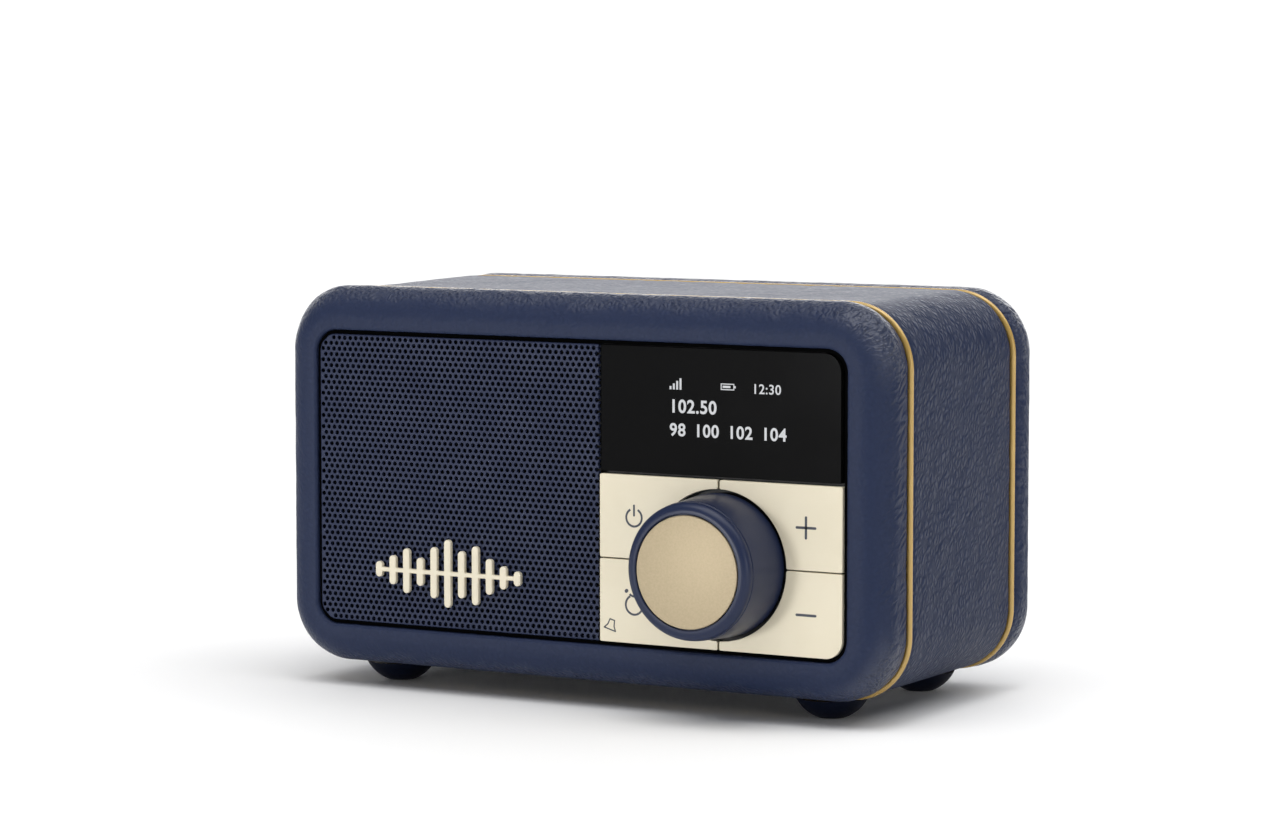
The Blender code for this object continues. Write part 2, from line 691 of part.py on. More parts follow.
# ---- Rear panel and electronics ----
def make_rear_panel(radio):
    """The rear panel, with its sockets' holes, its screws' countersinks and its round grille."""
    front, back = FLANGE_DEPTHS
    profile = behind([
        (BAFFLE_INSET, DEPTH - REAR_FACE), (BAFFLE_INSET, front), (BAFFLE_FLANGE_INSET, front),
        (BAFFLE_FLANGE_INSET, back), (POCKET_INSET, back), (POCKET_INSET, DEPTH - REAR_INNER),
    ])
    sheet = cabinet_sweep(profile, closed=False)
    panel = add("rear_panel", sheet, "navy_plastic", (0, 0, CENTRE_Z), radio)
    through = (0.0600, 0.0670)
    aerial_hole, jack_hole, screw_hole = 0.0033, 0.0034, 0.0014
    usb_hole = {"width": 0.0098, "height": 0.0040, "radius": 0.0019, "steps": 3}
    usb_x, jack_x = SOCKET_X
    grille_place = (SPEAKER_X, 0, RADIATOR_Z)
    cuts = [(rod(RADIATOR_HOLE, *through, 32), grille_place)]
    cuts += [(rod(aerial_hole, *through, 16), (AERIAL_X, 0, AERIAL_Z))]
    cuts += [(rod(jack_hole, *through, 16), (jack_x, 0, SOCKET_Z))]
    cuts += [(slab(rounded_outline(**usb_hole), *through), (usb_x, 0, SOCKET_Z))]
    cuts += [(rod(screw_hole, *through, 10), (x, 0, z)) for x, z in screw_centres()]
    boolean(panel, add("rear_holes", merged(*cuts), "navy_plastic", parent=radio))

    recess = (REAR_FACE - RECESS, through[1])
    head_room = SCREW_HEAD + GAP
    wide = [(rod(REAR_GRILLE + GAP, *recess, 32), grille_place)]
    wide += [(rod(head_room, *recess, 12), (x, 0, z)) for x, z in screw_centres()]
    boolean(panel, add("rear_recesses", merged(*wide), "navy_plastic", parent=radio))
    grille = rod(REAR_GRILLE, REAR_FACE - RECESS + GAP, REAR_FACE - 0.0001, 32)
    add("rear_grille", grille, "navy_metal", grille_place, radio)


def make_rear_screws(radio):
    shank, tip, head = 0.0011, 0.0495, REAR_FACE - RECESS + GAP
    edge, edge_height, crown, crown_height = SCREW_HEAD - 0.0001, 0.0007, 0.0012, 0.0010
    cap = [
        (0, head), (SCREW_HEAD, head), (edge, head + edge_height),
        (crown, head + crown_height), (0, head + crown_height),
    ]
    names = ("screw_low_left", "screw_low_right", "screw_top_left", "screw_top_right")
    for name, (x, z) in zip(names, screw_centres()):
        screw = add(name, rod(shank, head, tip, 10), "steel", (x, 0, z), radio)
        boolean(screw, add(f"{name}_head", turned(cap, 14), "steel", (x, 0, z), radio), "UNION")


def make_main_board(radio):
    """The rear circuit board, with the tuner's screening can and the two sockets on it."""
    board = plate((0.0100, 0.0130), (0.0490, 0.0500), 0.0556, 0.0570)
    add("main_board", board, "circuit_board", parent=radio)
    can = plate((0.0220, 0.0300), (0.0420, 0.0460), 0.0528, 0.0553)
    add("tuner_can", can, "steel", parent=radio)
    make_usb_socket((SOCKET_X[0], 0, SOCKET_Z), radio)
    make_headphone_jack((SOCKET_X[1], 0, SOCKET_Z), radio)


def make_usb_socket(place, radio):
    """An oval steel shell with a flat tongue in its mouth."""
    outside = rounded_outline(width=0.0090, height=0.0032, radius=0.0015, steps=3)
    inside = rounded_outline(width=0.0083, height=0.0025, radius=0.0012, steps=3)
    mouth_floor, tongue_start, tongue_short = 0.0590, 0.0588, 0.0010
    usb = add("usb_socket", slab(outside, SOCKET_START, SOCKET_END), "steel", place, radio)
    mouth = slab(inside, mouth_floor, SOCKET_END + GAP)
    boolean(usb, add("usb_mouth", mouth, "steel", place, radio))
    reach, half = 0.0033, 0.00035
    tongue = plate((-reach, -half), (reach, half), tongue_start, SOCKET_END - tongue_short)
    boolean(usb, add("usb_tongue", tongue, "steel", place, radio), "UNION")


def make_headphone_jack(place, radio):
    """A square body with a round barrel through the rear panel."""
    half, body_back, barrel_front = 0.0032, 0.0622, 0.0620
    barrel_radius, bore, bore_floor = 0.0030, 0.0018, 0.0590
    body = square_bar(half, SOCKET_START, body_back)
    jack = add("headphone_jack", body, "black_plastic", place, radio)
    barrel = rod(barrel_radius, barrel_front, SOCKET_END, 16)
    boolean(jack, add("jack_barrel", barrel, "black_plastic", place, radio), "UNION")
    hole = rod(bore, bore_floor, SOCKET_END + GAP, 16)
    boolean(jack, add("jack_bore", hole, "black_plastic", place, radio))


def make_battery(radio):
    """One round lithium cell lying across the cabinet's floor in a moulded cradle."""
    middle, radius, half = (-0.0155, 0.0415, 0.0210), 0.0091, 0.0325
    add("battery_cell", rod(radius, -half, half, 24, "X"), "cell_wrap", middle, radio)
    floor, wall, height, reach = 0.0100, 0.0012, 0.0100, 0.0300
    inner = radius + GAP
    low, top = floor - middle[2], floor - middle[2] + height
    cradle = block((-reach, -inner - wall, low), (reach, inner + wall, top))
    cradle = add("battery_cradle", cradle, "black_plastic", middle, radio)
    trough = rod(inner, -reach - GAP, reach + GAP, 24, "X")
    boolean(cradle, add("battery_trough", trough, "black_plastic", middle, radio))


def smooth_route(points, steps=2):
    """Points along a Catmull-Rom curve through the given ones."""
    knots = [Vector(p) for p in points]
    knots = [knots[0] * 2 - knots[1]] + knots + [knots[-1] * 2 - knots[-2]]
    route = []
    for a, b, c, d in zip(knots, knots[1:], knots[2:], knots[3:]):
        for step in range(steps):
            t = step / steps
            route.append(0.5 * (2 * b + (c - a) * t + (2 * a - 5 * b + 4 * c - d) * t**2
                                + (3 * b - a - 3 * c + d) * t**3))
    return route + [knots[-2]]


def make_lead(name, points, radius, material, radio):
    """An insulated lead as a round tube along a smooth curve."""
    curve = bpy.data.curves.new(name, "CURVE")
    curve.dimensions = "3D"
    curve.bevel_depth = radius
    curve.bevel_resolution = 2
    curve.use_fill_caps = True
    spline = curve.splines.new("POLY")
    route = smooth_route(points)
    spline.points.add(len(route) - 1)
    for point, place in zip(spline.points, route):
        point.co = (*place, 1.0)
    curve.materials.append(bpy.data.materials[material])
    obj = bpy.data.objects.new(name, curve)
    bpy.context.scene.collection.objects.link(obj)
    obj.parent = radio


def make_leads(radio):
    """The two leads inside the cabinet. Each goes through a few points as (x, depth, z)."""
    radius = 0.0007
    speaker_lead = [
        (-0.0060, 0.0200, 0.0500), (-0.0020, 0.0230, 0.0500), (0.0030, 0.0300, 0.0480),
        (0.0080, 0.0400, 0.0440), (0.0120, 0.0480, 0.0400), (0.0150, 0.0530, 0.0380),
        (0.0160, 0.0549, 0.0380),
    ]
    battery_lead = [
        (0.0177, 0.0415, 0.0210), (0.0205, 0.0425, 0.0210), (0.0230, 0.0460, 0.0200),
        (0.0240, 0.0505, 0.0190), (0.0240, 0.0549, 0.0190),
    ]
    make_lead("speaker_lead", speaker_lead, radius, "rubber", radio)
    make_lead("battery_lead", battery_lead, radius, "rubber", radio)


# ---- Aerial ----
def make_aerial(radio):
    """A telescopic aerial. Its base swivels on the rear panel, and a pin lets the mast tilt back."""
    place = (AERIAL_X, 0, AERIAL_Z)
    add("aerial_socket", turned(aerial_socket_profile(), 20), "chrome", place, radio)
    swivel_axis = empty("aerial_swivel_axis", place, radio)
    tilt_axis = empty("aerial_tilt_axis", (0, MAST_DEPTH, 0), swivel_axis)
    make_swivel(swivel_axis, tilt_axis)
    pin = rod(radius=0.0006, start=-0.0025, end=0.0025, steps=12, axis="Z")
    add("aerial_pin", pin, "steel", parent=tilt_axis)
    make_mast(tilt_axis)


def aerial_socket_profile():
    """A flanged bush in the rear panel, which the swivel's stem turns in."""
    bore, bush, flange = 0.0017, 0.0030, 0.0050
    front, flange_front = 0.0595, DEPTH - 0.0005
    return [
        (bore, front), (bush, front), (bush, flange_front), (flange, flange_front),
        (flange, DEPTH), (bore, DEPTH),
    ]


def make_swivel(swivel_axis, tilt_axis):
    """A disc on a stem, with two cheeks that hold the mast's tongue between them."""
    stem, stem_front, disc_radius = 0.0014, 0.0598, 0.0036
    disc_front, disc_back = DEPTH + 0.0002, DEPTH + 0.0009
    profile = [
        (0, stem_front), (stem, stem_front), (stem, disc_front), (disc_radius, disc_front),
        (disc_radius, disc_back), (0, disc_back),
    ]
    swivel = add("aerial_swivel", turned(profile, 20), "chrome", parent=swivel_axis)
    half_slot, cheek_side, foot = 0.0013, 0.0023, disc_back - GAP
    cheek = [(CHEEK, foot)] + arc((0, MAST_DEPTH), CHEEK, 0, 180, 8) + [(-CHEEK, foot)]
    for name, side in (("lower", -1), ("upper", 1)):
        points = [(x, depth, side * half_slot) for x, depth in cheek]
        wall = extruded(points, (0, 0, side * (cheek_side - half_slot)))
        boolean(swivel, add(f"swivel_{name}_cheek", wall, "chrome", parent=swivel_axis), "UNION")
    hole_reach = 0.0040
    pin_hole = rod(PIN_HOLE, -hole_reach, hole_reach, 12, "Z")
    boolean(swivel, add("swivel_pin_hole", pin_hole, "chrome", parent=tilt_axis))


def make_mast(tilt_axis):
    """Three tubes and a tipped rod, each sliding in the one before. The mast points along -X."""
    make_first_tube(tilt_axis)
    for place in (1, 2):
        outer = MAST_RADII[place]
        near, far = mast_ends(place)
        sliding = tube(outer, outer - MAST_WALL, far, near, 16, "X")
        add(f"aerial_tube_{place + 1}", sliding, "chrome", parent=tilt_axis)
    near, far = mast_ends(3)
    rod_radius, tip_radius, tip, edge = MAST_RADII[3], MAST_RADII[0], 0.0030, 0.0010
    profile = [(0, near), (rod_radius, near), (rod_radius, far), (tip_radius, far)]
    profile += arc((tip_radius - edge, far - tip + edge), edge, 0, -90, 3)
    add("aerial_rod", turned(profile + [(0, far - tip)], 16, "X"), "chrome", parent=tilt_axis)


def mast_ends(place):
    """Where one of the mast's pieces starts and ends along X, with the mast pushed in."""
    return -(MAST_PLUG + place * MAST_STEP), -(MAST_END + place * MAST_STEP)


def make_first_tube(tilt_axis):
    """The outer tube, closed near its tongue, which turns on the pin between the cheeks."""
    start, half, radius, hole_reach = 0.0040, 0.0010, 0.0016, 0.0020
    outer, inner = MAST_RADII[0], MAST_RADII[0] - MAST_WALL
    profile = [
        (0, -start), (outer, -start), (outer, -MAST_END), (inner, -MAST_END),
        (inner, -MAST_PLUG), (0, -MAST_PLUG),
    ]
    base = add("aerial_tube_1", turned(profile, 16, "X"), "chrome", parent=tilt_axis)
    outline = [(-start - GAP, -radius)] + arc((0, 0), radius, -90, 90, 8) + [(-start - GAP, radius)]
    tongue = extruded([(x, y, -half) for x, y in outline], (0, 0, 2 * half))
    boolean(base, add("mast_tongue", tongue, "chrome", parent=tilt_axis), "UNION")
    hole = rod(PIN_HOLE, -hole_reach, hole_reach, 12, "Z")
    boolean(base, add("tongue_hole", hole, "chrome", parent=tilt_axis))


def main():
    clear_scene()
    make_materials()
    radio = empty("radio", (0, FRONT_Y, 0))
    make_cabinet(radio)
    make_feet(radio)
    make_front_baffle(radio)
    make_front_gasket(radio)
    make_grille(radio)
    make_badge(radio)
    make_display(radio)
    make_keys(radio)
    make_control_board(radio)
    make_knob(make_encoder(radio))
    speaker = (SPEAKER_X, 0, SPEAKER_Z)
    make_speaker_motor(speaker, radio)
    make_speaker_cone(speaker, empty("cone_axis", speaker, radio), radio)
    radiator = (SPEAKER_X, 0, RADIATOR_Z)
    make_passive_radiator(radiator, empty("radiator_axis", radiator, radio), radio)
    make_rear_panel(radio)
    make_rear_screws(radio)
    make_main_board(radio)
    make_battery(radio)
    make_leads(radio)
    make_aerial(radio)


main()
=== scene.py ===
"""The finished look of the leather portable radio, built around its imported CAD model.

Units are metres, in the CAD model's frame: +X to the right, +Y back, +Z up.
Depths are measured back from the cabinet's front plane, as in the CAD source.
"""

import math

import bmesh
import bpy
from mathutils import Matrix, Vector, noise as field
from mathutils.geometry import delaunay_2d_cdt


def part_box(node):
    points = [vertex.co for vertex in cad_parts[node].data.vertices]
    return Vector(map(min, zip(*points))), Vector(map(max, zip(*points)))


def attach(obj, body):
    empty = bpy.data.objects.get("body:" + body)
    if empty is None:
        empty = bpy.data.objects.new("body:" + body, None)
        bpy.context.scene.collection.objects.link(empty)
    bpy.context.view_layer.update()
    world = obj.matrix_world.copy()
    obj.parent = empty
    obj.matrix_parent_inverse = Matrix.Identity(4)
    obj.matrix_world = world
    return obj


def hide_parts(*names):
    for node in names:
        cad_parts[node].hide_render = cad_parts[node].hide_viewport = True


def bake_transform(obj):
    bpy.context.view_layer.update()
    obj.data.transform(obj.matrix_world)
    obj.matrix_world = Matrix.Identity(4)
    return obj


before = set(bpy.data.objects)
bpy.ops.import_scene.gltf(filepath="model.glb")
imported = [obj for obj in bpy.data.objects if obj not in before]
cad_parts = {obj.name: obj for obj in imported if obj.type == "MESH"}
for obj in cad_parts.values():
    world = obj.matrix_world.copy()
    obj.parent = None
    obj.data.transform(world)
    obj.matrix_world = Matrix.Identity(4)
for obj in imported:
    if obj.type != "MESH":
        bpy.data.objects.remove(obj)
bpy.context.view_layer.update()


# ---- Places read from the CAD model ----
def middle_of(node):
    """The middle of a node's box."""
    low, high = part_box(node)
    return (low + high) / 2


SLEEVE_LOW, SLEEVE_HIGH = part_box("cabinet_leather")
FRONT_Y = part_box("front_frame_leather")[0].y
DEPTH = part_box("rear_frame_leather")[1].y - FRONT_Y
WIDTH = SLEEVE_HIGH.x - SLEEVE_LOW.x
HEIGHT = SLEEVE_HIGH.z - SLEEVE_LOW.z
CENTRE_Z = (SLEEVE_HIGH.z + SLEEVE_LOW.z) / 2
PIPING_DEPTH = middle_of("front_piping").y - FRONT_Y
GRILLE_LOW, GRILLE_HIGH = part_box("speaker_grille")
PANEL_LEFT, PANEL_RIGHT = GRILLE_LOW.x, -GRILLE_LOW.x
PANEL_LOW, PANEL_TOP = GRILLE_LOW.z, GRILLE_HIGH.z
WINDOW_LOW, WINDOW_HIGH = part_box("display_window")
KEYS_LEFT, KEYS_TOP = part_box("button_power")[0].x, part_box("button_power")[1].z
KNOB_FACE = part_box("knob_body")[0].y - FRONT_Y
KNOB_X, _, KNOB_Z = middle_of("knob_body")
AERIAL_X, _, AERIAL_Z = middle_of("aerial_socket")
MAST_DEPTH = middle_of("aerial_tube_1").y - FRONT_Y

# ---- Sizes that the CAD source names ----
CORNER = 0.0120  # rounding of the cabinet's four long edges
LEATHER = 0.0009  # thickness
BORDER = 0.0077  # width of the frame's face
FILLET = 0.0060  # rounding between the frame's face and its sides
LIP = 0.0007  # rounding where the leather turns into the opening
WRAP = 0.0050  # how far the leather reaches into the opening
BEAD = 0.00053  # the piping's radius
BEAD_INSET = 0.00015
BEAD_SUNK = 0.00005  # the cord swells a little between the leather's edges
TAPE_INSET = 0.0050
TAPE_HALF = 0.00025
LEATHER_TO_PIPING = BEAD + 0.0001
TUCK, TUCK_LENGTH = 0.0008, 0.0020  # how deep and from where the leather turns down towards the piping
PANEL_INSET = 0.0085
PANEL_CORNER = CORNER - PANEL_INSET
KEY_CUTOUT = 0.0140  # radius of the opening in the keys, round the knob
KEY_SEAM_X = 0.0004
KEY_SEAM_Z = 0.00025

# ---- How finely shapes are divided ----
SMOOTH_ANGLE = math.radians(32)
CORNER_PARTS = 28
SIDE_PARTS, TOP_PARTS = 80, 176
UNIT_STEP = 0.001


# ---- Node-tree helpers ----
def add_node(tree, kind, inputs=None, **settings):
    """A node with its settings made and its inputs set or linked."""
    node = tree.nodes.new(kind)
    for name, value in settings.items():
        setattr(node, name, value)
    for name, value in (inputs or {}).items():
        if isinstance(value, bpy.types.NodeSocket):
            tree.links.new(value, node.inputs[name])
        else:
            node.inputs[name].default_value = value
    return node


def place_of(tree):
    return add_node(tree, "ShaderNodeTexCoord").outputs["Object"]


def wrap_of(tree):
    """The place along and across a swept piece, in metres, as a vector."""
    return add_node(tree, "ShaderNodeUVMap", uv_map="wrap").outputs["UV"]


def stretched(tree, vector, size, turn=(0, 0, 0)):
    """A vector for which a pattern comes out turned, and size times as large along its own axes."""
    inputs = {"Vector": vector, "Scale": size, "Rotation": [math.radians(angle) for angle in turn]}
    return add_node(tree, "ShaderNodeMapping", inputs, vector_type="TEXTURE").outputs["Vector"]


def noise(tree, vector, scale, detail=2.0, roughness=0.5):
    inputs = {"Vector": vector, "Scale": scale, "Detail": detail, "Roughness": roughness}
    return add_node(tree, "ShaderNodeTexNoise", inputs).outputs["Fac"]


def cells(tree, vector, scale):
    """Irregular cells: 0 on the borders between them, and rising towards their middles."""
    inputs = {"Vector": vector, "Scale": scale}
    return add_node(tree, "ShaderNodeTexVoronoi", inputs, feature="DISTANCE_TO_EDGE").outputs["Distance"]


def remap(tree, value, low, high, to_low=0.0, to_high=1.0):
    """Carries value from one range to another, with a smooth start and end."""
    inputs = {"Value": value, "From Min": low, "From Max": high, "To Min": to_low, "To Max": to_high}
    return add_node(tree, "ShaderNodeMapRange", inputs, interpolation_type="SMOOTHSTEP").outputs["Result"]


def calculate(tree, operation, first, second=0.0):
    return add_node(tree, "ShaderNodeMath", {0: first, 1: second}, operation=operation).outputs["Value"]


def times(tree, first, second):
    return calculate(tree, "MULTIPLY", first, second)


def vector_math(tree, operation, inputs):
    return add_node(tree, "ShaderNodeVectorMath", inputs, operation=operation).outputs["Vector"]


def shifted(tree, vector, scale, amount):
    """vector moved about by a smooth random field, so that a regular pattern turns irregular."""
    inputs = {"Vector": vector, "Scale": scale, "Detail": 2.0}
    random = add_node(tree, "ShaderNodeTexNoise", inputs).outputs["Color"]
    centred = vector_math(tree, "SUBTRACT", {0: random, 1: (0.5, 0.5, 0.5)})
    scaled = vector_math(tree, "SCALE", {0: centred, "Scale": amount})
    return vector_math(tree, "ADD", {0: vector, 1: scaled})


def blend_colours(tree, factor, first, second):
    node = add_node(tree, "ShaderNodeMix", {0: factor}, data_type="RGBA")
    for socket, colour in ((node.inputs[6], first), (node.inputs[7], second)):
        if isinstance(colour, bpy.types.NodeSocket):
            tree.links.new(colour, socket)
        else:
            socket.default_value = (*colour, 1.0)
    return node.outputs[2]


def distance_from(tree, value, middle):
    return calculate(tree, "ABSOLUTE", calculate(tree, "SUBTRACT", value, middle))


def creased(tree, vector, scale, width=0.12):
    """Smooth lumps with narrow winding creases between them, from 0 in a crease to 1."""
    lumps = noise(tree, vector, scale, 1.5, 0.4)
    return remap(tree, distance_from(tree, lumps, 0.5), 0.0, width)


def bumped(tree, shader, *layers):
    """Stacks bumps on a shader. Each layer is a height field from 0 to 1 with its depth in metres."""
    normal = None
    for height, depth in layers:
        inputs = {"Height": height, "Distance": depth, "Strength": 1.0}
        if normal is not None:
            inputs["Normal"] = normal
        normal = add_node(tree, "ShaderNodeBump", inputs).outputs["Normal"]
    tree.links.new(normal, shader.inputs["Normal"])


def new_material(name, colour, roughness=0.5, metallic=0.0, **sockets):
    """A Principled material. Its colour and roughness may be linked to nodes afterwards."""
    material = bpy.data.materials.new(name)
    material.use_nodes = True
    tree = material.node_tree
    shader = tree.nodes["Principled BSDF"]
    shader.inputs["Base Color"].default_value = (*colour, 1.0)
    shader.inputs["Roughness"].default_value = roughness
    shader.inputs["Metallic"].default_value = metallic
    for socket, value in sockets.items():
        shader.inputs[socket.replace("_", " ")].default_value = value
    return material, tree, shader


def tinted(tree, shader, factor, first, second):
    """Links a shader's colour to a blend of two colours."""
    tree.links.new(blend_colours(tree, factor, first, second), shader.inputs["Base Color"])


def mottled(name, first, second, scale, roughness, grain=None, stretch=None, metallic=0.0, **sockets):
    """A material whose colour and roughness vary together over soft blotches of one scale.

    grain is a fine bump, if there is one: its scale, detail and roughness, and its depth in metres.
    """
    material, tree, shader = new_material(name, first, sum(roughness) / 2, metallic, **sockets)
    place = place_of(tree)
    blotches = noise(tree, place, scale, 4.0, 0.6)
    tinted(tree, shader, blotches, first, second)
    tree.links.new(remap(tree, blotches, 0.3, 0.7, *roughness), shader.inputs["Roughness"])
    if grain:
        *pattern, depth = grain
        along = stretched(tree, place, stretch) if stretch else place
        bumped(tree, shader, (noise(tree, along, *pattern), depth))
    return material


# ---- Materials ----
# The leather's own navy, and a darker one used for painted shade in the grain's creases and pores and for
# random blotches of tone
LEATHER_LIGHT = (0.0180, 0.0280, 0.0690)
LEATHER_DARK = (0.0090, 0.0150, 0.0400)


def leather_base(name):
    return new_material(name, LEATHER_LIGHT, 0.42, Specular_IOR_Level=0.20)


def leather_grain(tree, place):
    """Leaning pebbles with creases between them, and finer ones on top. Gives the height from 0 to 1."""
    loose = shifted(tree, place, 300.0, 0.0010)
    leaning = stretched(tree, loose, (1.2, 1.0, 1.5), (-24, 0, 0))
    pebbles = remap(tree, cells(tree, leaning, 860.0), 0.0, 0.42)
    ridges = noise(tree, stretched(tree, loose, (1.0, 0.8, 1.5), (-28, 0, 0)), 1100.0)
    return calculate(tree, "ADD", times(tree, pebbles, 0.8), times(tree, ridges, 0.2))


def sleeve_leather():
    """The cabinet's sides: full grain all over, with long soft creases."""
    material, tree, shader = leather_base("sleeve_leather")
    place = place_of(tree)
    grain = leather_grain(tree, place)
    waves = noise(tree, place, 70.0)
    leaning = stretched(tree, shifted(tree, place, 150.0, 0.004), (1.0, 1.0, 1.8), (-40, 0, 0))
    creases = creased(tree, leaning, 190.0)
    worn = remap(tree, noise(tree, place, 150.0, 3.0), 0.2, 0.8, 0.75, 1.0)
    # painted shade: the grain's creases are coloured darker, as if in shade, times random blotches of tone
    crease_shade_tint = times(tree, remap(tree, grain, 0.25, 0.75, 0.60, 1.0), worn)
    tinted(tree, shader, crease_shade_tint, LEATHER_DARK, LEATHER_LIGHT)
    tree.links.new(remap(tree, grain, 0.2, 0.8, 0.52, 0.42), shader.inputs["Roughness"])
    bumped(tree, shader, (waves, 0.0011), (creases, 0.00009), (grain, 0.00017))
    return material


def edge_shares(tree, place):
    """Two shares: 1 along the cabinet's top and bottom, and 1 at its four long edges."""
    parts = add_node(tree, "ShaderNodeSeparateXYZ", {"Vector": place}).outputs
    from_middle = distance_from(tree, parts["Z"], CENTRE_Z)
    sideways = calculate(tree, "ABSOLUTE", parts["X"])
    near_end, near_top = (
        remap(tree, distance, size / 2 - 1.5 * CORNER, size / 2 - 0.4 * CORNER)
        for distance, size in ((sideways, WIDTH), (from_middle, HEIGHT))
    )
    return near_top, times(tree, near_end, near_top)


def gathered(tree, wrap, along, turn, scale, softness):
    """Small folds in the leather, long in one direction. Gives their height from 0 to 1."""
    folds = cells(tree, stretched(tree, wrap, (1.0, along, 1.0), (0, 0, turn)), scale)
    return remap(tree, folds, 0.0, softness)


def frame_zones(tree, place, across, length):
    """How far the frame's leather is by the piping, gathered, grained and crumpled, each from 0 to 1."""

    def rise(start, end, line=across):
        """0 until start before the piping, and 1 from end before it on."""
        return remap(tree, line, length - start, length - end)

    wander = remap(tree, noise(tree, place, 260.0), 0.3, 0.7, -0.0022, 0.0022)
    wandering = calculate(tree, "ADD", across, wander)
    wandering_less = calculate(tree, "ADD", across, times(tree, wander, 0.3))
    near_top, corners = edge_shares(tree, place)
    edge = rise(0.0075, 0.0022, wandering)
    gathering = rise(0.0100, 0.0055, wandering)
    band = times(tree, rise(0.0110, 0.0080, wandering_less), near_top)
    off_edge = remap(tree, across, length - 0.0038, length - 0.0014, 1.0, 0.0)
    crumpling = times(tree, times(tree, rise(0.0130, 0.0080), off_edge), corners)
    return edge, gathering, band, crumpling


def frame_leather(length):
    """The frames: almost smooth on the face, grained and gathered into small creases towards the piping.

    length is the leather's width across the frame, from the lip in the opening to the piping.
    """
    material, tree, shader = leather_base("frame_leather")
    place, wrap = place_of(tree), wrap_of(tree)
    across = add_node(tree, "ShaderNodeSeparateXYZ", {"Vector": wrap}).outputs["Y"]
    edge, gathering, band, crumpling = frame_zones(tree, place, across, length)

    loose = shifted(tree, wrap, 300.0, 0.0014)
    gathers = times(tree, gathered(tree, loose, 2.0, -36, 580.0, 0.42), gathering)
    crumples = times(tree, gathered(tree, loose, 2.2, 8, 1000.0, 0.34), crumpling)
    pebbled = remap(tree, cells(tree, shifted(tree, place, 300.0, 0.0012), 800.0), 0.0, 0.42)
    grain = times(tree, pebbled, band)
    pebbles = remap(tree, cells(tree, shifted(tree, place, 300.0, 0.0014), 760.0), 0.0, 0.40)
    waves = noise(tree, place, 120.0)
    pores = noise(tree, place, 1500.0, 3.0, 0.65)
    bumped(
        tree, shader, (waves, 0.0005), (gathers, 0.00024), (crumples, 0.00014), (pebbles, 0.00004),
        (grain, 0.00018), (pores, 0.000035),
    )

    # painted shade: the pores and the creases between the pebbles are coloured darker, as if in shade
    shaded_pores = remap(tree, pores, 0.25, 0.75, 0.70, 1.0)
    crease_shade_tint = times(tree, shaded_pores, remap(tree, pebbles, 0.0, 1.0, 0.86, 1.0))
    tinted(tree, shader, crease_shade_tint, LEATHER_DARK, LEATHER_LIGHT)
    dullness = remap(tree, edge, 0.0, 1.0, 0.54, 0.45)
    polished = calculate(tree, "SUBTRACT", dullness, times(tree, crumpling, 0.14))
    tree.links.new(polished, shader.inputs["Roughness"])
    gleam = calculate(tree, "MAXIMUM", crumpling, times(tree, band, 0.6))
    dull_edge = remap(tree, across, length - 0.0018, length - 0.0006, 1.0, 0.1)
    shine = times(tree, remap(tree, gleam, 0.0, 1.0, 0.20, 0.60), dull_edge)
    tree.links.new(shine, shader.inputs["Specular IOR Level"])
    return material


def gold_cord():
    gold = (0.55, 0.35, 0.10)
    material, tree, shader = new_material("gold_cord", gold, 0.17, 0.20, Specular_IOR_Level=0.8)
    place = place_of(tree)
    tinted(tree, shader, noise(tree, place, 240.0, 3.0), (0.48, 0.305, 0.08), (0.60, 0.395, 0.115))
    bumped(tree, shader, (noise(tree, place, 1500.0), 0.00004))
    return material


def painted_mesh():
    """Navy satin paint on the perforated metal."""
    navy = (0.0230, 0.0310, 0.0700), (0.0190, 0.0260, 0.0600)
    grain = (3200.0, 2.0, 0.5, 0.00001)
    return mottled("painted_mesh", *navy, 160.0, (0.44, 0.56), grain, Specular_IOR_Level=0.22)


def cream_moulding():
    cream = (0.815, 0.745, 0.575), (0.780, 0.705, 0.535)
    return mottled("cream_moulding", *cream, 120.0, (0.46, 0.56), (3600.0, 3.0, 0.65, 0.000022))


def cream_enamel():
    """The badge's glossy paint."""
    cream = (0.80, 0.73, 0.57), (0.76, 0.69, 0.53)
    return mottled("badge_enamel", *cream, 300.0, (0.28, 0.42), (1200.0, 2.0, 0.5, 0.00002))


def blasted_metal():
    """Champagne-coloured aluminium with a fine blasted grain."""
    first, second = (0.520, 0.425, 0.275), (0.450, 0.365, 0.230)
    material, tree, shader = new_material("blasted_metal", first, 0.5, 0.25)
    grain = noise(tree, place_of(tree), 2300.0, 4.0, 0.75)
    tinted(tree, shader, remap(tree, grain, 0.3, 0.7), second, first)
    tree.links.new(remap(tree, grain, 0.3, 0.7, 0.44, 0.58), shader.inputs["Roughness"])
    bumped(tree, shader, (grain, 0.00003))
    return material


def satin_navy():
    """The knob's painted plastic."""
    navy = (0.0150, 0.0230, 0.0600), (0.0120, 0.0190, 0.0520)
    grain = (2800.0, 2.0, 0.5, 0.000006)
    return mottled("satin_navy", *navy, 90.0, (0.30, 0.38), grain, Specular_IOR_Level=0.3)


def rear_moulding():
    """Navy plastic with a spark-eroded texture."""
    navy = (0.0130, 0.0190, 0.0480), (0.0100, 0.0150, 0.0400)
    return mottled("rear_moulding", *navy, 140.0, (0.48, 0.58), (2200.0, 3.0, 0.7, 0.00004))


def display_glass():
    black = (0.0060, 0.0060, 0.0062), (0.0050, 0.0050, 0.0053)
    waviness = (40.0, 1.0, 0.5, 0.00002)
    return mottled("display_glass", *black, 60.0, (0.12, 0.17), waviness, Specular_IOR_Level=0.03)


def display_glow():
    """The lit segments of the display, a little uneven from dot to dot."""
    material, tree, shader = new_material("display_glow", (0.02, 0.02, 0.02), 0.4)
    dots = noise(tree, place_of(tree), 2600.0, 1.0)
    light = blend_colours(tree, dots, (0.46, 0.47, 0.49), (0.62, 0.63, 0.65))
    tree.links.new(light, shader.inputs["Emission Color"])
    shader.inputs["Emission Strength"].default_value = 1.0
    return material


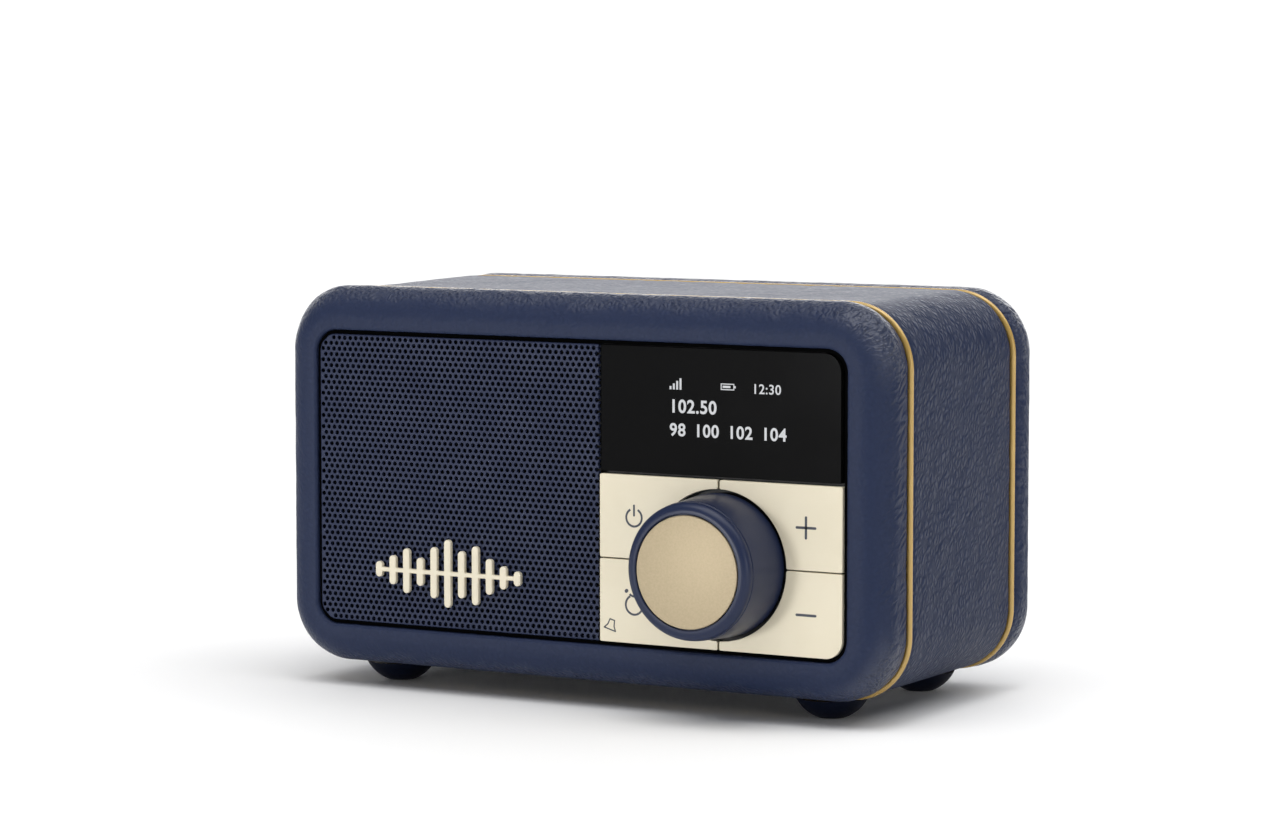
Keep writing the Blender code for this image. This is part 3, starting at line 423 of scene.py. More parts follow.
def printed_ink():
    return mottled("printed_ink", (0.045, 0.052, 0.070), (0.065, 0.072, 0.090), 1800.0, (0.55, 0.65))


def soft_rubber(name, first, second, roughness=(0.55, 0.68), specular=0.2):
    grain = (1800.0, 3.0, 0.6, 0.00002)
    return mottled(name, first, second, 200.0, roughness, grain, Specular_IOR_Level=specular)


def black_moulding():
    black = (0.0080, 0.0080, 0.0085), (0.0120, 0.0120, 0.0125)
    return mottled("black_moulding", *black, 300.0, (0.5, 0.62), (2400.0, 2.0, 0.5, 0.00003))


def bright_chrome():
    greys = (0.72, 0.72, 0.74), (0.66, 0.66, 0.69)
    return mottled("bright_chrome", *greys, 220.0, (0.09, 0.17), metallic=1.0)


def stamped_steel():
    """Plated steel with fine level rolling marks."""
    greys = (0.50, 0.51, 0.52), (0.40, 0.41, 0.42)
    marks = (900.0, 2.0, 0.5, 0.00002)
    return mottled("stamped_steel", *greys, 260.0, (0.28, 0.42), marks, (1.0, 1.0, 0.1), metallic=1.0)


def fibreboard():
    """Pressed wood fibre, with light and dark strands."""
    material, tree, shader = new_material("fibreboard", (0.42, 0.29, 0.17), 0.8)
    strands = noise(tree, stretched(tree, place_of(tree), (1.0, 0.3, 1.0)), 700.0, 5.0, 0.7)
    tinted(tree, shader, strands, (0.30, 0.20, 0.11), (0.55, 0.40, 0.25))
    bumped(tree, shader, (strands, 0.00008))
    return material


def sintered_ferrite():
    greys = (0.045, 0.045, 0.050), (0.085, 0.085, 0.090)
    return mottled("sintered_ferrite", *greys, 900.0, (0.62, 0.78), (1500.0, 3.0, 0.5, 0.00004))


def board_laminate():
    """Solder resist with lighter tracks under it."""
    green = (0.015, 0.12, 0.05)
    material, tree, shader = new_material("board_laminate", green, 0.4, Coat_Weight=0.3)
    tracks = remap(tree, cells(tree, place_of(tree), 260.0), 0.03, 0.05)
    tinted(tree, shader, tracks, (0.05, 0.26, 0.11), (0.012, 0.10, 0.04))
    bumped(tree, shader, (tracks, 0.00003))
    return material


def wound_copper():
    """Layers of fine enamelled wire round the Y axis."""
    material, tree, shader = new_material("wound_copper", (0.60, 0.24, 0.09), 0.32, 1.0)
    inputs = {"Vector": place_of(tree), "Scale": 1400.0}
    wave = add_node(tree, "ShaderNodeTexWave", inputs, wave_type="BANDS", bands_direction="Y")
    bands = wave.outputs["Fac"]
    tinted(tree, shader, bands, (0.36, 0.13, 0.05), (0.66, 0.28, 0.11))
    bumped(tree, shader, (bands, 0.00006))
    return material


def fibrous(name, first, second, scale=1100.0):
    """Paper or cloth whose fibres cross at random."""
    material, tree, shader = new_material(name, first, 0.85)
    fibres = noise(tree, shifted(tree, place_of(tree), 500.0, 0.001), scale, 5.0, 0.7)
    tinted(tree, shader, fibres, first, second)
    bumped(tree, shader, (fibres, 0.00006))
    return material


def cell_film():
    """The battery cell's shrunk film, with fine folds along X."""
    blues = (0.05, 0.22, 0.38), (0.04, 0.18, 0.33)
    return mottled("cell_film", *blues, 120.0, (0.26, 0.36), (400.0, 2.0, 0.5, 0.00003), (5.0, 1.0, 1.0))


def floor_paper():
    whites = (0.93, 0.93, 0.93), (0.91, 0.91, 0.91)
    return mottled("floor_paper", *whites, 3.0, (0.88, 0.94), Specular_IOR_Level=0.0)


# ---- Mesh helpers ----
def arc(centre, radius, start, end, steps):
    """Points of an arc in a plane, both ends included. Angles are in degrees."""
    points = []
    for step in range(steps + 1):
        angle = math.radians(start + (end - start) * step / steps)
        points.append((centre[0] + radius * math.cos(angle), centre[1] + radius * math.sin(angle)))
    return points


def placed(name, data):
    """A new object in the scene for a mesh, a curve, a light or a camera."""
    obj = bpy.data.objects.new(name, data)
    bpy.context.scene.collection.objects.link(obj)
    return obj


def mesh_of(name, bm, material):
    """Turns a bmesh into a mesh with one material."""
    mesh = bpy.data.meshes.new(name)
    bm.to_mesh(mesh)
    bm.free()
    mesh.materials.append(material)
    return mesh


def finish_piece(name, bm, material, body, replaced=(), smooth=True):
    """Makes a piece of a bmesh, and gives it its material, the body it rides on and what it stands for.

    A piece without a body is left without a parent.
    """
    bmesh.ops.recalc_face_normals(bm, faces=bm.faces)
    mesh = mesh_of(name, bm, material)
    if smooth:
        mesh.shade_smooth()
        mesh.set_sharp_from_angle(angle=SMOOTH_ANGLE)
    piece = placed(name, mesh)
    if body:
        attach(piece, body)
    if replaced:
        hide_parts(*replaced)
    return piece


def bevelled(piece, width, segments, angle=40):
    """Rounds the edges that turn by more than an angle in degrees."""
    modifier = piece.modifiers.new("rounded_edges", "BEVEL")
    modifier.width = width
    modifier.segments = segments
    modifier.limit_method = "ANGLE"
    modifier.angle_limit = math.radians(angle)
    modifier.harden_normals = True


def depths_of(node):
    """How far behind the front plane a node starts and ends."""
    low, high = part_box(node)
    return low.y - FRONT_Y, high.y - FRONT_Y


def on_front(x, z):
    """A point on the front plane, where depths start."""
    return Vector((x, FRONT_Y, z))


def rectangle(left, low, right, high):
    return [(left, low), (right, low), (right, high), (left, high)]


def joined(parts):
    """Several bmeshes as one."""
    bm = bmesh.new()
    for part in parts:
        mesh = bpy.data.meshes.new("part")
        part.to_mesh(mesh)
        part.free()
        bm.from_mesh(mesh)
        bpy.data.meshes.remove(mesh)
    return bm


def rounded_outline(width, height, radius, steps, parts=(1, 1)):
    """(x, z) points of a rounded rectangle about its own middle, from the lower right corner round.

    parts tells how many pieces the upright and the level sides are divided into.
    """
    curves = []
    for side, up, start in ((1, -1, 270), (1, 1, 0), (-1, 1, 90), (-1, -1, 180)):
        centre = (side * (width / 2 - radius), up * (height / 2 - radius))
        curves.append(arc(centre, radius, start, start + 90, steps))
    points = []
    for place, curve in enumerate(curves):
        start, end = Vector(curve[-1]), Vector(curves[(place + 1) % 4][0])
        count = parts[place % 2]
        points += curve + [tuple(start.lerp(end, part / count)) for part in range(1, count)]
    return points


def cabinet_outline(inset, fine=False):
    parts = (SIDE_PARTS, TOP_PARTS) if fine else (1, 1)
    return rounded_outline(WIDTH - 2 * inset, HEIGHT - 2 * inset, CORNER - inset, CORNER_PARTS, parts)


def lengths_along(points):
    """How far along a line of points each one is."""
    total, found = 0.0, [0.0]
    for one, other in zip(points, points[1:]):
        total += math.dist(one, other)
        found.append(total)
    return found


def cabinet_sweep(profile, swell=None):
    """Carries a closed (inset, depth) profile round the cabinet, with its place along and across as UVs.

    swell gives how far the surface stands out at an (x, z) about the middle and a depth.
    """
    bm = bmesh.new()
    layer = bm.loops.layers.uv.new("wrap")
    around = cabinet_outline(0, fine=swell is not None)
    around_lengths = lengths_along(around + around[:1])
    across_lengths = lengths_along(profile + profile[:1])
    rings = []
    for inset, depth in profile:
        outline = cabinet_outline(inset, fine=swell is not None)
        if swell is not None:
            outer = cabinet_outline(inset - UNIT_STEP, fine=True)
            outline = [Vector(point).lerp(Vector(out), swell(*point, depth) / UNIT_STEP)
                       for point, out in zip(outline, outer)]
        rings.append([bm.verts.new((x, FRONT_Y + depth, CENTRE_Z + z)) for x, z in outline])
    for row, ring in enumerate(rings):
        below = rings[(row + 1) % len(rings)]
        for column in range(len(ring)):
            after = (column + 1) % len(ring)
            face = bm.faces.new((ring[column], ring[after], below[after], below[column]))
            places = ((column, row), (column + 1, row), (column + 1, row + 1), (column, row + 1))
            for loop, (along, across) in zip(face.loops, places):
                loop[layer].uv = (around_lengths[along], across_lengths[across])
    return bm


def behind(profile):
    return [(inset, DEPTH - depth) for inset, depth in profile]


def bridge(bm, one, other):
    """Joins two closed rings of points with faces."""
    for i in range(len(one)):
        j = (i + 1) % len(one)
        bm.faces.new((one[i], one[j], other[j], other[i]))


def extruded(outline, shift):
    """The solid that a flat outline of 3-D points makes when it is carried along shift."""
    bm = bmesh.new()
    near = [bm.verts.new(point) for point in outline]
    far = [bm.verts.new(Vector(point) + Vector(shift)) for point in outline]
    bm.faces.new(near)
    bm.faces.new(far)
    bridge(bm, near, far)
    return bm


def slab(outline, front, back):
    """Extrudes (x, z) points from one depth to another."""
    return extruded([(x, FRONT_Y + front, z) for x, z in outline], (0, back - front, 0))


def turned(profile, centre, axis="Y", steps=96):
    """Spins a closed outline of (radius, distance along) points once round an axis through centre."""
    place = {"X": lambda r, t: (t, r, 0), "Y": lambda r, t: (r, t, 0), "Z": lambda r, t: (r, 0, t)}[axis]
    bm = bmesh.new()
    verts = [bm.verts.new(place(r, t)) for r, t in profile]
    for i in range(len(profile)):
        j = (i + 1) % len(profile)
        if profile[i][0] or profile[j][0]:  # a line along the axis itself makes no face
            bm.edges.new((verts[i], verts[j]))
    bmesh.ops.spin(
        bm, geom=list(bm.verts) + list(bm.edges), cent=(0, 0, 0), axis=place(0, 1),
        angle=math.tau, steps=steps, use_merge=True,
    )
    bmesh.ops.remove_doubles(bm, verts=bm.verts, dist=1e-7)
    bmesh.ops.translate(bm, verts=bm.verts, vec=centre)
    return bm


# ---- Cabinet ----
def ramp(value, low, high):
    """0 up to low, 1 from high on, and a smooth rise between them."""
    share = min(max((value - low) / (high - low), 0.0), 1.0)
    return share * share * (3 - 2 * share)


FRONT_PILLOW, REAR_PILLOW, REAR_ROLL = 0.00062, 0.00036, 0.00055  # how far the padding lifts the leather
LUMPS, LUMPS_BY_PIPING = 0.00005, 0.00007  # how uneven it is all over, and how much more by the piping
BROAD_LUMPS, SMALL_LUMPS = 150, 420  # how many to a metre, about


def leather_swell(x, z, depth):
    """How far the padding presses the leather out: unevenly, and in soft pillows by the pipings on top."""
    from_face = min(depth, DEPTH - depth)
    by_piping = 1 - ramp(abs(from_face - PIPING_DEPTH), 0.0012, 0.0070)
    on_top = ramp(z, HEIGHT / 2 - 0.0090, HEIGHT / 2 - 0.0020)
    front_pillow = ramp(depth, 0.0005, 0.0055) * (1 - ramp(depth, 0.0060, PIPING_DEPTH - 0.0006))
    rear_piping = DEPTH - PIPING_DEPTH
    towards_rear = ramp(depth, PIPING_DEPTH + 0.0060, rear_piping - 0.0050)
    rear_pillow = towards_rear * ramp(rear_piping - depth, 0.0, 0.0030)
    rear_roll = ramp(depth - rear_piping, 0.0004, 0.0040) * (1 - ramp(depth, DEPTH - 0.0040, DEPTH))
    small = field.noise(Vector((x, 0.5 * depth, z)) * SMALL_LUMPS)
    broad = field.noise(Vector((x, depth, z)) * BROAD_LUMPS)
    raised = on_top * (FRONT_PILLOW * front_pillow + REAR_PILLOW * rear_pillow) + REAR_ROLL * rear_roll
    return raised + (LUMPS + LUMPS_BY_PIPING * by_piping) * (small + 0.5 * broad)


def tucked(end, towards):
    """The leather's edge, from the point where it starts to turn down to its end beside the piping."""
    return [(TUCK * (1 + inwards), end + towards * TUCK_LENGTH * (1 - along))
            for inwards, along in arc((0, 0), 1, 180, 90, 8)]


def leather_profile():
    """The leather from the opening's wall over the lip and the rounded edge to the piping."""
    end = PIPING_DEPTH - LEATHER_TO_PIPING
    outside = [(BORDER, WRAP), (BORDER, (WRAP + LIP) / 2)]
    outside += arc((BORDER - LIP, LIP), LIP, 0, -90, 7)
    outside += arc((FILLET, FILLET), FILLET, -90, -180, 20)
    outside += [(0, FILLET + (end - TUCK_LENGTH - FILLET) * share / 8) for share in range(1, 8)]
    outside += tucked(end, -1)
    inside = [(LEATHER, end)]
    inside += arc((FILLET, FILLET), FILLET - LEATHER, 180, 270, 10)
    return outside + inside + [(BORDER - LEATHER, LEATHER), (BORDER - LEATHER, WRAP)]


def make_leather():
    profile = leather_profile()
    outer_points = profile.index((LEATHER, PIPING_DEPTH - LEATHER_TO_PIPING))
    material = frame_leather(lengths_along(profile)[outer_points - 1])
    for place, fit in (("front", list), ("rear", behind)):
        padded = cabinet_sweep(fit(profile), leather_swell)
        finish_piece(
            f"{place}_leather", padded, material, "cabinet", [f"{place}_frame_leather"],
        )
    start, bands = PIPING_DEPTH + LEATHER_TO_PIPING, 30
    low, high = start + TUCK_LENGTH, DEPTH - start - TUCK_LENGTH
    sides = tucked(start, 1)[::-1]
    sides += [(0, low + (high - low) * band / bands) for band in range(1, bands)]
    sides += tucked(DEPTH - start, -1)
    sides += [(LEATHER, DEPTH - start), (LEATHER, start)]
    sleeve = cabinet_sweep(sides, leather_swell)
    finish_piece("sleeve", sleeve, sleeve_leather(), "cabinet", ["cabinet_leather"])


def make_piping():
    bead = arc((BEAD_INSET + BEAD_SUNK, PIPING_DEPTH), BEAD + BEAD_SUNK, 22, 338, 18)
    profile = bead + [(TAPE_INSET, PIPING_DEPTH - TAPE_HALF), (TAPE_INSET, PIPING_DEPTH + TAPE_HALF)]
    material = gold_cord()
    for place, fit in (("front", list), ("rear", behind)):
        cord = cabinet_sweep(fit(profile))
        finish_piece(f"{place}_cord", cord, material, "cabinet", [f"{place}_piping"])


def make_surround():
    """The black strip between the frame and the front panel: black rubber, and painted shade of the gap.
    """
    front, back = depths_of("front_gasket")
    overlap = 0.00010
    inner, outer = PANEL_INSET - overlap, BORDER + overlap
    profile = [(outer, front), (outer, back), (inner, back), (inner, front)]
    # partly painted shade: nearly pure black with almost no shine, for the shade in the gap as well as the
    # black rubber
    black = (0.0006, 0.0006, 0.0008), (0.0010, 0.0010, 0.0012)
    material = soft_rubber("surround_rubber_and_gap_shade", *black, (0.8, 0.9), specular=0.03)
    strip = cabinet_sweep(profile)
    finish_piece("panel_surround", strip, material, "cabinet", ["front_gasket"])


def make_key_ribs():
    """The ribs in the seam between the keys, above and below the knob's opening, in a dark olive that
    paints the seam's shade, warmed by the cream walls beside it.
    """
    half, below_face, end = KEY_SEAM_X * 0.35, 0.00035, 0.0016
    face = depths_of("button_power")[0] + below_face
    left, right = KNOB_X - half, KNOB_X + half
    ribs = [
        slab(rectangle(left, KNOB_Z + KEY_CUTOUT, right, KEYS_TOP), face, end),
        slab(rectangle(left, PANEL_LOW, right, KNOB_Z - KEY_CUTOUT), face, end),
    ]
    # painted shade: the dark olive stands for the seam's cream walls in shade
    seam_shade = (0.060, 0.046, 0.014), (0.045, 0.034, 0.010)
    material = soft_rubber("rib_seam_shade", *seam_shade)
    finish_piece("key_ribs", joined(ribs), material, "cabinet", smooth=False)


def make_feet():
    """Soft domes, a little flattened where they stand."""
    navy = (0.0020, 0.0035, 0.0110), (0.0030, 0.0050, 0.0150)
    material = soft_rubber("foot_rubber", *navy, (0.42, 0.56), specular=0.12)
    dome, pad, neck, spigot = 0.0075, 0.0024, 0.0028, 0.0018
    pad_edge, gap, rings, crowding = 0.0003, 0.0007, 14, 1.4
    top, lift = SLEEVE_LOW.z - gap, dome - math.sqrt(dome**2 - pad**2)
    for name in ("foot_front_left", "foot_front_right", "foot_rear_left", "foot_rear_right"):
        x, y, _ = middle_of(name)
        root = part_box(name)[1].z
        profile = [(0, 0), (pad - pad_edge, 0)]
        for step in range(1, rings + 1):
            height = top * (step / rings) ** crowding
            profile.append((math.sqrt(dome**2 - (dome - lift - height) ** 2), height))
        profile += [(neck, top), (neck, SLEEVE_LOW.z), (spigot, SLEEVE_LOW.z), (spigot, root), (0, root)]
        foot = turned(profile, Vector((x, y, 0)), "Z", 64)
        finish_piece(f"{name}_dome", foot, material, "cabinet", [name])


# ---- Front panel ----
HOLE_PITCH = 0.00126
HOLE_ROW = 0.00108
HOLE_RADIUS = 0.00044
HOLE_SIDES = 12
FIRST_HOLE = Vector((0.00070, 0.00070))  # from the grille's top left corner to the first hole
MESH_MARGIN = 0.00062  # from a hole's centre to the nearest plain edge
PRESSED_EDGE = 0.00030  # rounding where the grille's edge turns back


def perforated(outline, holes, front, back):
    """A plate that follows a closed outline, pierced by closed rings of points right through."""
    points, loops = [], []
    for ring in (outline, *holes):
        loops.append(list(range(len(points), len(points) + len(ring))))
        points += ring
    triangles_inside = 1
    places = [Vector(point) for point in points]
    found, _, faces, _, _, sources = delaunay_2d_cdt(places, [], loops, triangles_inside, 1e-8)
    bm = bmesh.new()
    near = [bm.verts.new((p.x, FRONT_Y + front, p.y)) for p in found]
    far = [bm.verts.new((p.x, FRONT_Y + back, p.y)) for p in found]
    for face, source in zip(faces, sources):
        if any(source):
            continue  # it lies in one of the holes, whose loops come after the outline's
        bm.faces.new([near[i] for i in face])
        bm.faces.new([far[i] for i in reversed(face)])
    bm.verts.index_update()
    rims = [edge for edge in bm.edges if edge.is_boundary and edge.verts[0].index < len(near)]
    for edge in rims:
        one, other = edge.verts
        bm.faces.new((one, other, far[other.index], far[one.index]))
    return bm


def grille_edge(inset):
    """The grille's outline without its right edge, from the top right round to the bottom right.

    Its two left corners are cut across rather than rounded.
    """
    radius, spread = PANEL_CORNER - inset, 30
    left, low, top = PANEL_LEFT + inset, PANEL_LOW + inset, PANEL_TOP - inset
    edge = [(GRILLE_HIGH.x, top)]
    edge += arc((left + radius, top - radius), radius, 90, 90 + spread, 4)
    edge += arc((left + radius, top - radius), radius, 180 - spread, 180, 4)
    edge += arc((left + radius, low + radius), radius, 180, 180 + spread, 4)
    edge += arc((left + radius, low + radius), radius, 270 - spread, 270, 4)
    return edge + [(GRILLE_HIGH.x, low)]


def on_plate(x, z):
    """Whether a hole centred here keeps clear of the grille's plain left, top and bottom edges."""
    radius = PANEL_CORNER - MESH_MARGIN
    if not PANEL_LOW + MESH_MARGIN <= z <= PANEL_TOP - MESH_MARGIN:
        return False
    from_corner_x = PANEL_LEFT + PANEL_CORNER - x
    from_corner_z = max(PANEL_LOW + PANEL_CORNER - z, z - PANEL_TOP + PANEL_CORNER)
    if from_corner_x > 0 and from_corner_z > 0:
        return math.hypot(from_corner_x, from_corner_z) <= radius
    return x >= PANEL_LEFT + MESH_MARGIN


def grille_holes():
    """Rings of whole holes, and notches where every other row's last hole runs out of the right edge."""
    right, least_web = GRILLE_HIGH.x, 0.0001
    rings, notches = [], []
    rows = int((PANEL_TOP - PANEL_LOW) / HOLE_ROW)
    columns = int((right - PANEL_LEFT) / HOLE_PITCH) + 1
    for row in range(rows):
        z = PANEL_TOP - FIRST_HOLE.y - row * HOLE_ROW
        for column in range(columns):
            x = PANEL_LEFT + FIRST_HOLE.x + (column + 0.5 * (row % 2)) * HOLE_PITCH
            if not on_plate(x, z) or x - HOLE_RADIUS > right:
                continue
            if x + HOLE_RADIUS < right - least_web:
                rings.append(arc((x, z), HOLE_RADIUS, 0, 360, HOLE_SIDES)[:-1])
            elif abs(right - x) < HOLE_RADIUS:
                mouth = math.degrees(math.acos((right - x) / HOLE_RADIUS))
                notches.append(arc((x, z), HOLE_RADIUS, 360 - mouth, mouth, HOLE_SIDES - 2))
    return rings, notches


def make_grille():
    """The pierced plate with its edge turned back, and black cloth behind it."""
    front, back, flange = 0.0003, 0.0011, 0.0007
    rings, notches = grille_holes()
    outline = grille_edge(PRESSED_EDGE)
    for notch in reversed(notches):
        outline += notch
    plate = perforated(outline, rings, front, back)
    end = depths_of("speaker_grille")[1]
    edge = arc((PRESSED_EDGE, front + PRESSED_EDGE), PRESSED_EDGE, 270, 180, 5)
    rows = []
    for inset, depth in edge + [(0.0, end), (flange, end), (flange, back)]:
        rows.append([plate.verts.new((x, FRONT_Y + depth, z)) for x, z in grille_edge(inset)])
    for row, after in zip(rows, rows[1:]):
        for i in range(len(row) - 1):
            plate.faces.new((row[i], row[i + 1], after[i + 1], after[i]))
    finish_piece("grille_plate", plate, painted_mesh(), "cabinet", ["speaker_grille"])

    cloth_inset, cloth_front, cloth_back = 0.0009, back + 0.00015, back + 0.00035
    cloth = slab(grille_edge(cloth_inset), cloth_front, cloth_back)
    black = fibrous("black_cloth", (0.004, 0.004, 0.005), (0.008, 0.008, 0.009))
    finish_piece("grille_cloth", cloth, black, "cabinet")


def badge_outline():
    """Upright rounded bars on a level rail, as the CAD model's badge has them."""
    pitch, half, rail = 0.0031, 0.00075, 0.0004
    heights = (0.0015, 0.0028, 0.0043, 0.0027, 0.0049, 0.0065, 0.0045, 0.0056, 0.0034, 0.0022, 0.0014)
    middle_x, _, middle_z = middle_of("grille_badge")
    upper = []
    for place, height in enumerate(heights):
        x = (place - len(heights) // 2) * pitch
        upper += [(x - half, rail)] + arc((x, height - half), half, 180, 0, 12) + [(x + half, rail)]
    lower = [(x, -z) for x, z in reversed(upper)]
    return [(middle_x + x, middle_z + z) for x, z in upper + lower]


def make_badge():
    bars = slab(badge_outline(), *depths_of("grille_badge"))
    badge = finish_piece(
        "badge", bars, cream_enamel(), "cabinet", ["grille_badge"], smooth=False,
    )
    bevelled(badge, 0.00022, 4)


# ---- Display ----
def make_window():
    """The display's window, with its top right corner rounded."""
    left, low, right, top = WINDOW_LOW.x, WINDOW_LOW.z, WINDOW_HIGH.x, WINDOW_HIGH.z
    outline = [(left, top), (left, low), (right, low)]
    outline += arc((right - PANEL_CORNER, top - PANEL_CORNER), PANEL_CORNER, 0, 90, 14)
    glass = slab(outline, *depths_of("display_window"))
    window = finish_piece(
        "window", glass, display_glass(), "cabinet", ["display_window"], smooth=False,
    )
    bevelled(window, 0.00015, 2)


DISPLAY_LEFT, BATTERY_LEFT, CLOCK_LEFT = 0.0206, 0.0313, 0.0378
STATUS_LINE, STATION_LINE, SCALE_LINE = 0.0605, 0.0564, 0.0521  # how high the display's lines stand
LIT_DEPTH = 0.00002  # how far lit segments stand before the glass


def display_numbers(name, text, left, low, height, material, weight):
    """One line of lit numerals, standing on its own baseline."""
    cap_share = 0.8  # a numeral's share of the type size
    curve = bpy.data.curves.new(name, "FONT")
    curve.body = text
    curve.size = height / cap_share
    curve.offset = weight
    curve.extrude = LIT_DEPTH / 2
    curve.space_word = 0.8
    curve.space_character = 1.08
    curve.materials.append(material)
    line = placed(name, curve)
    upright = Matrix.Rotation(math.pi / 2, 4, "X")
    line.matrix_world = Matrix.Translation((left, WINDOW_LOW.y - LIT_DEPTH, low)) @ upright
    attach(line, "cabinet")


def signal_bars():
    """Four bars, each taller than the one before."""
    pitch, width, lowest, rise, low = 0.0007, 0.0004, 0.0006, 0.0005, STATUS_LINE + 0.0001
    lefts = [DISPLAY_LEFT + pitch * bar for bar in range(4)]
    highs = [low + lowest + rise * bar for bar in range(4)]
    return [rectangle(left, low, left + width, high) for left, high in zip(lefts, highs)]


def battery_sign():
    """A frame with the charge inside it, and a stub at its right end."""
    left, low, length, height = BATTERY_LEFT, STATUS_LINE + 0.0004, 0.0028, 0.0012
    wall, inset, stub = 0.00018, 0.0004, 0.0003
    right, high = left + length, low + height
    return [
        rectangle(left, low, right, low + wall),
        rectangle(left, high - wall, right, high),
        rectangle(left, low, left + wall, high),
        rectangle(right - wall, low, right, high),
        rectangle(left + inset, low + inset, right - 2 * inset, high - inset),
        rectangle(right, low + inset, right + stub, high - inset),
    ]


def make_display():
    """A status line with bars, a battery and a clock, then a frequency and part of a tuning scale."""
    lit = display_glow()
    display_numbers("display_clock", "12:30", CLOCK_LEFT, STATUS_LINE, 0.0020, lit, 0.00003)
    display_numbers("display_frequency", "102.50", DISPLAY_LEFT, STATION_LINE, 0.0027, lit, 0.00008)
    display_numbers("display_scale", "98  100  102  104", DISPLAY_LEFT, SCALE_LINE, 0.0026, lit, 0.00007)
    front = WINDOW_LOW.y - FRONT_Y - 1.5 * LIT_DEPTH
    icons = joined([slab(icon, front, front + LIT_DEPTH) for icon in signal_bars() + battery_sign()])
    finish_piece("display_icons", icons, lit, "cabinet", smooth=False)


# ---- Keys ----
def with_round_corners(outline, radius, sharpest=35):
    """A closed outline whose corners turning by more than an angle in degrees are rounded off."""
    steps = 4
    points = []
    for place, corner in enumerate(map(Vector, outline)):
        before, after = Vector(outline[place - 1]), Vector(outline[(place + 1) % len(outline)])
        if abs((corner - before).angle_signed(after - corner)) < math.radians(sharpest):
            points.append(tuple(corner))
            continue
        start = corner + (before - corner).normalized() * radius
        end = corner + (after - corner).normalized() * radius
        for step in range(steps + 1):
            share = step / steps
            points.append(tuple(start.lerp(corner, share).lerp(corner.lerp(end, share), share)))
    return points


def key_outline(side, up):
    """One quarter of the key field, with the knob's circle taken out of its inner corner."""
    edge_x, edge_z = KNOB_X + side * KEY_SEAM_X / 2, KNOB_Z + up * KEY_SEAM_Z / 2
    outer_x = PANEL_RIGHT if side > 0 else KEYS_LEFT
    outer_z = KEYS_TOP if up > 0 else PANEL_LOW
    start = math.degrees(math.asin(KEY_SEAM_Z / 2 / KEY_CUTOUT))
    end = math.degrees(math.acos(KEY_SEAM_X / 2 / KEY_CUTOUT))
    ring = arc((0, 0), KEY_CUTOUT, start, end, 30)
    outline = [(KNOB_X + side * x, KNOB_Z + up * z) for x, z in ring] + [(edge_x, outer_z)]
    if side > 0 and up < 0:
        outline += arc((outer_x - PANEL_CORNER, outer_z + PANEL_CORNER), PANEL_CORNER, 270, 360, 14)
    else:
        outline += [(outer_x, outer_z)]
    return outline + [(outer_x, edge_z)]


THIN_LINE, LINE, THICK_LINE = 0.00012, 0.00020, 0.00024  # half widths of printed lines


def stroke(start, end, half=LINE):
    """A straight line with round ends."""
    angle = math.degrees(math.atan2(end[1] - start[1], end[0] - start[0]))
    return arc(end, half, angle - 90, angle + 90, 8) + arc(start, half, angle + 90, angle + 270, 8)


def bow(centre, radius, start, end, half=LINE):
    """A line along an arc, with square ends."""
    steps = max(8, int(abs(end - start) / 8))
    return arc(centre, radius + half, start, end, steps) + arc(centre, radius - half, end, start, steps)


def power_sign():
    centre, radius, top = Vector((0.01335, 0.03650)), 0.00165, 0.00225
    bar = stroke(centre + Vector((0, 0.0004)), centre + Vector((0, top)))
    return [bow(centre, radius, 118, 422), bar]


def clock_sign():
    """An alarm clock: an open ring with a bow and two stubs on top."""
    centre, radius, brow_radius, stub = Vector((0.01340, 0.02020)), 0.00180, 0.0014, 0.00034
    shapes = [bow(centre, radius, 118, 422), bow(centre + Vector((0, 0.0030)), brow_radius, 225, 315)]
    for side in (-1, 1):
        start = centre + Vector((side * 0.0017, 0.0025))
        shapes.append(stroke(start, start + Vector((side * -0.0001, 0.0001)), stub))
    return shapes


def bell_sign():
    """The outline of a small leaning bell."""
    centre, lean = Vector((0.00840, 0.01610)), Matrix.Rotation(math.radians(-16), 2)
    rim, waist, shoulder, brim, top = 0.00125, 0.0007, 0.0005, -0.0008, 0.0011
    outline = [(-rim, brim), (-waist, 0), (-shoulder, top), (shoulder, top), (waist, 0), (rim, brim)]
    corners = [centre + lean @ Vector(point) for point in outline]
    return [stroke(one, other, THIN_LINE) for one, other in zip(corners, corners[1:] + corners[:1])]


def plus_sign():
    centre, reach = Vector((0.04913, 0.03663)), 0.00188
    arms = Vector((reach, 0)), Vector((0, reach))
    return [stroke(centre - arm, centre + arm, THICK_LINE) for arm in arms]


def minus_sign():
    low, left, right = 0.0207, 0.0473, 0.0511
    return [stroke((left, low), (right, low), THICK_LINE)]


def make_keys():
    """Four keys, each with a post that reaches its switch and a printed sign."""
    cream, ink = cream_moulding(), printed_ink()
    signs = {
        "power": (-1, 1, power_sign()),
        "alarm": (-1, -1, clock_sign() + bell_sign()),
        "volume_up": (1, 1, plus_sign()),
        "volume_down": (1, -1, minus_sign()),
    }
    plate_back, round_corner, print_height = 0.0016, 0.00035, 0.00002
    post_half, post_across, post_up = 0.0015, 0.0180, 0.0080
    for name, (side, up, shapes) in signs.items():
        node, body = f"button_{name}", f"key_{name}"
        front, post_back = depths_of(node)
        x, z = KNOB_X + side * post_across, KNOB_Z + up * post_up
        corners = rectangle(x - post_half, z - post_half, x + post_half, z + post_half)
        post = slab(corners, plate_back, post_back)
        plate = slab(with_round_corners(key_outline(side, up), round_corner), front, plate_back)
        key = finish_piece(
            f"{body}_cap", joined([plate, post]), cream, body, [node], smooth=False,
        )
        bevelled(key, 0.00014, 3, angle=50)
        sign = joined([slab(shape, front - print_height, front + print_height) for shape in shapes])
        finish_piece(f"{body}_sign", sign, ink, body, smooth=False)


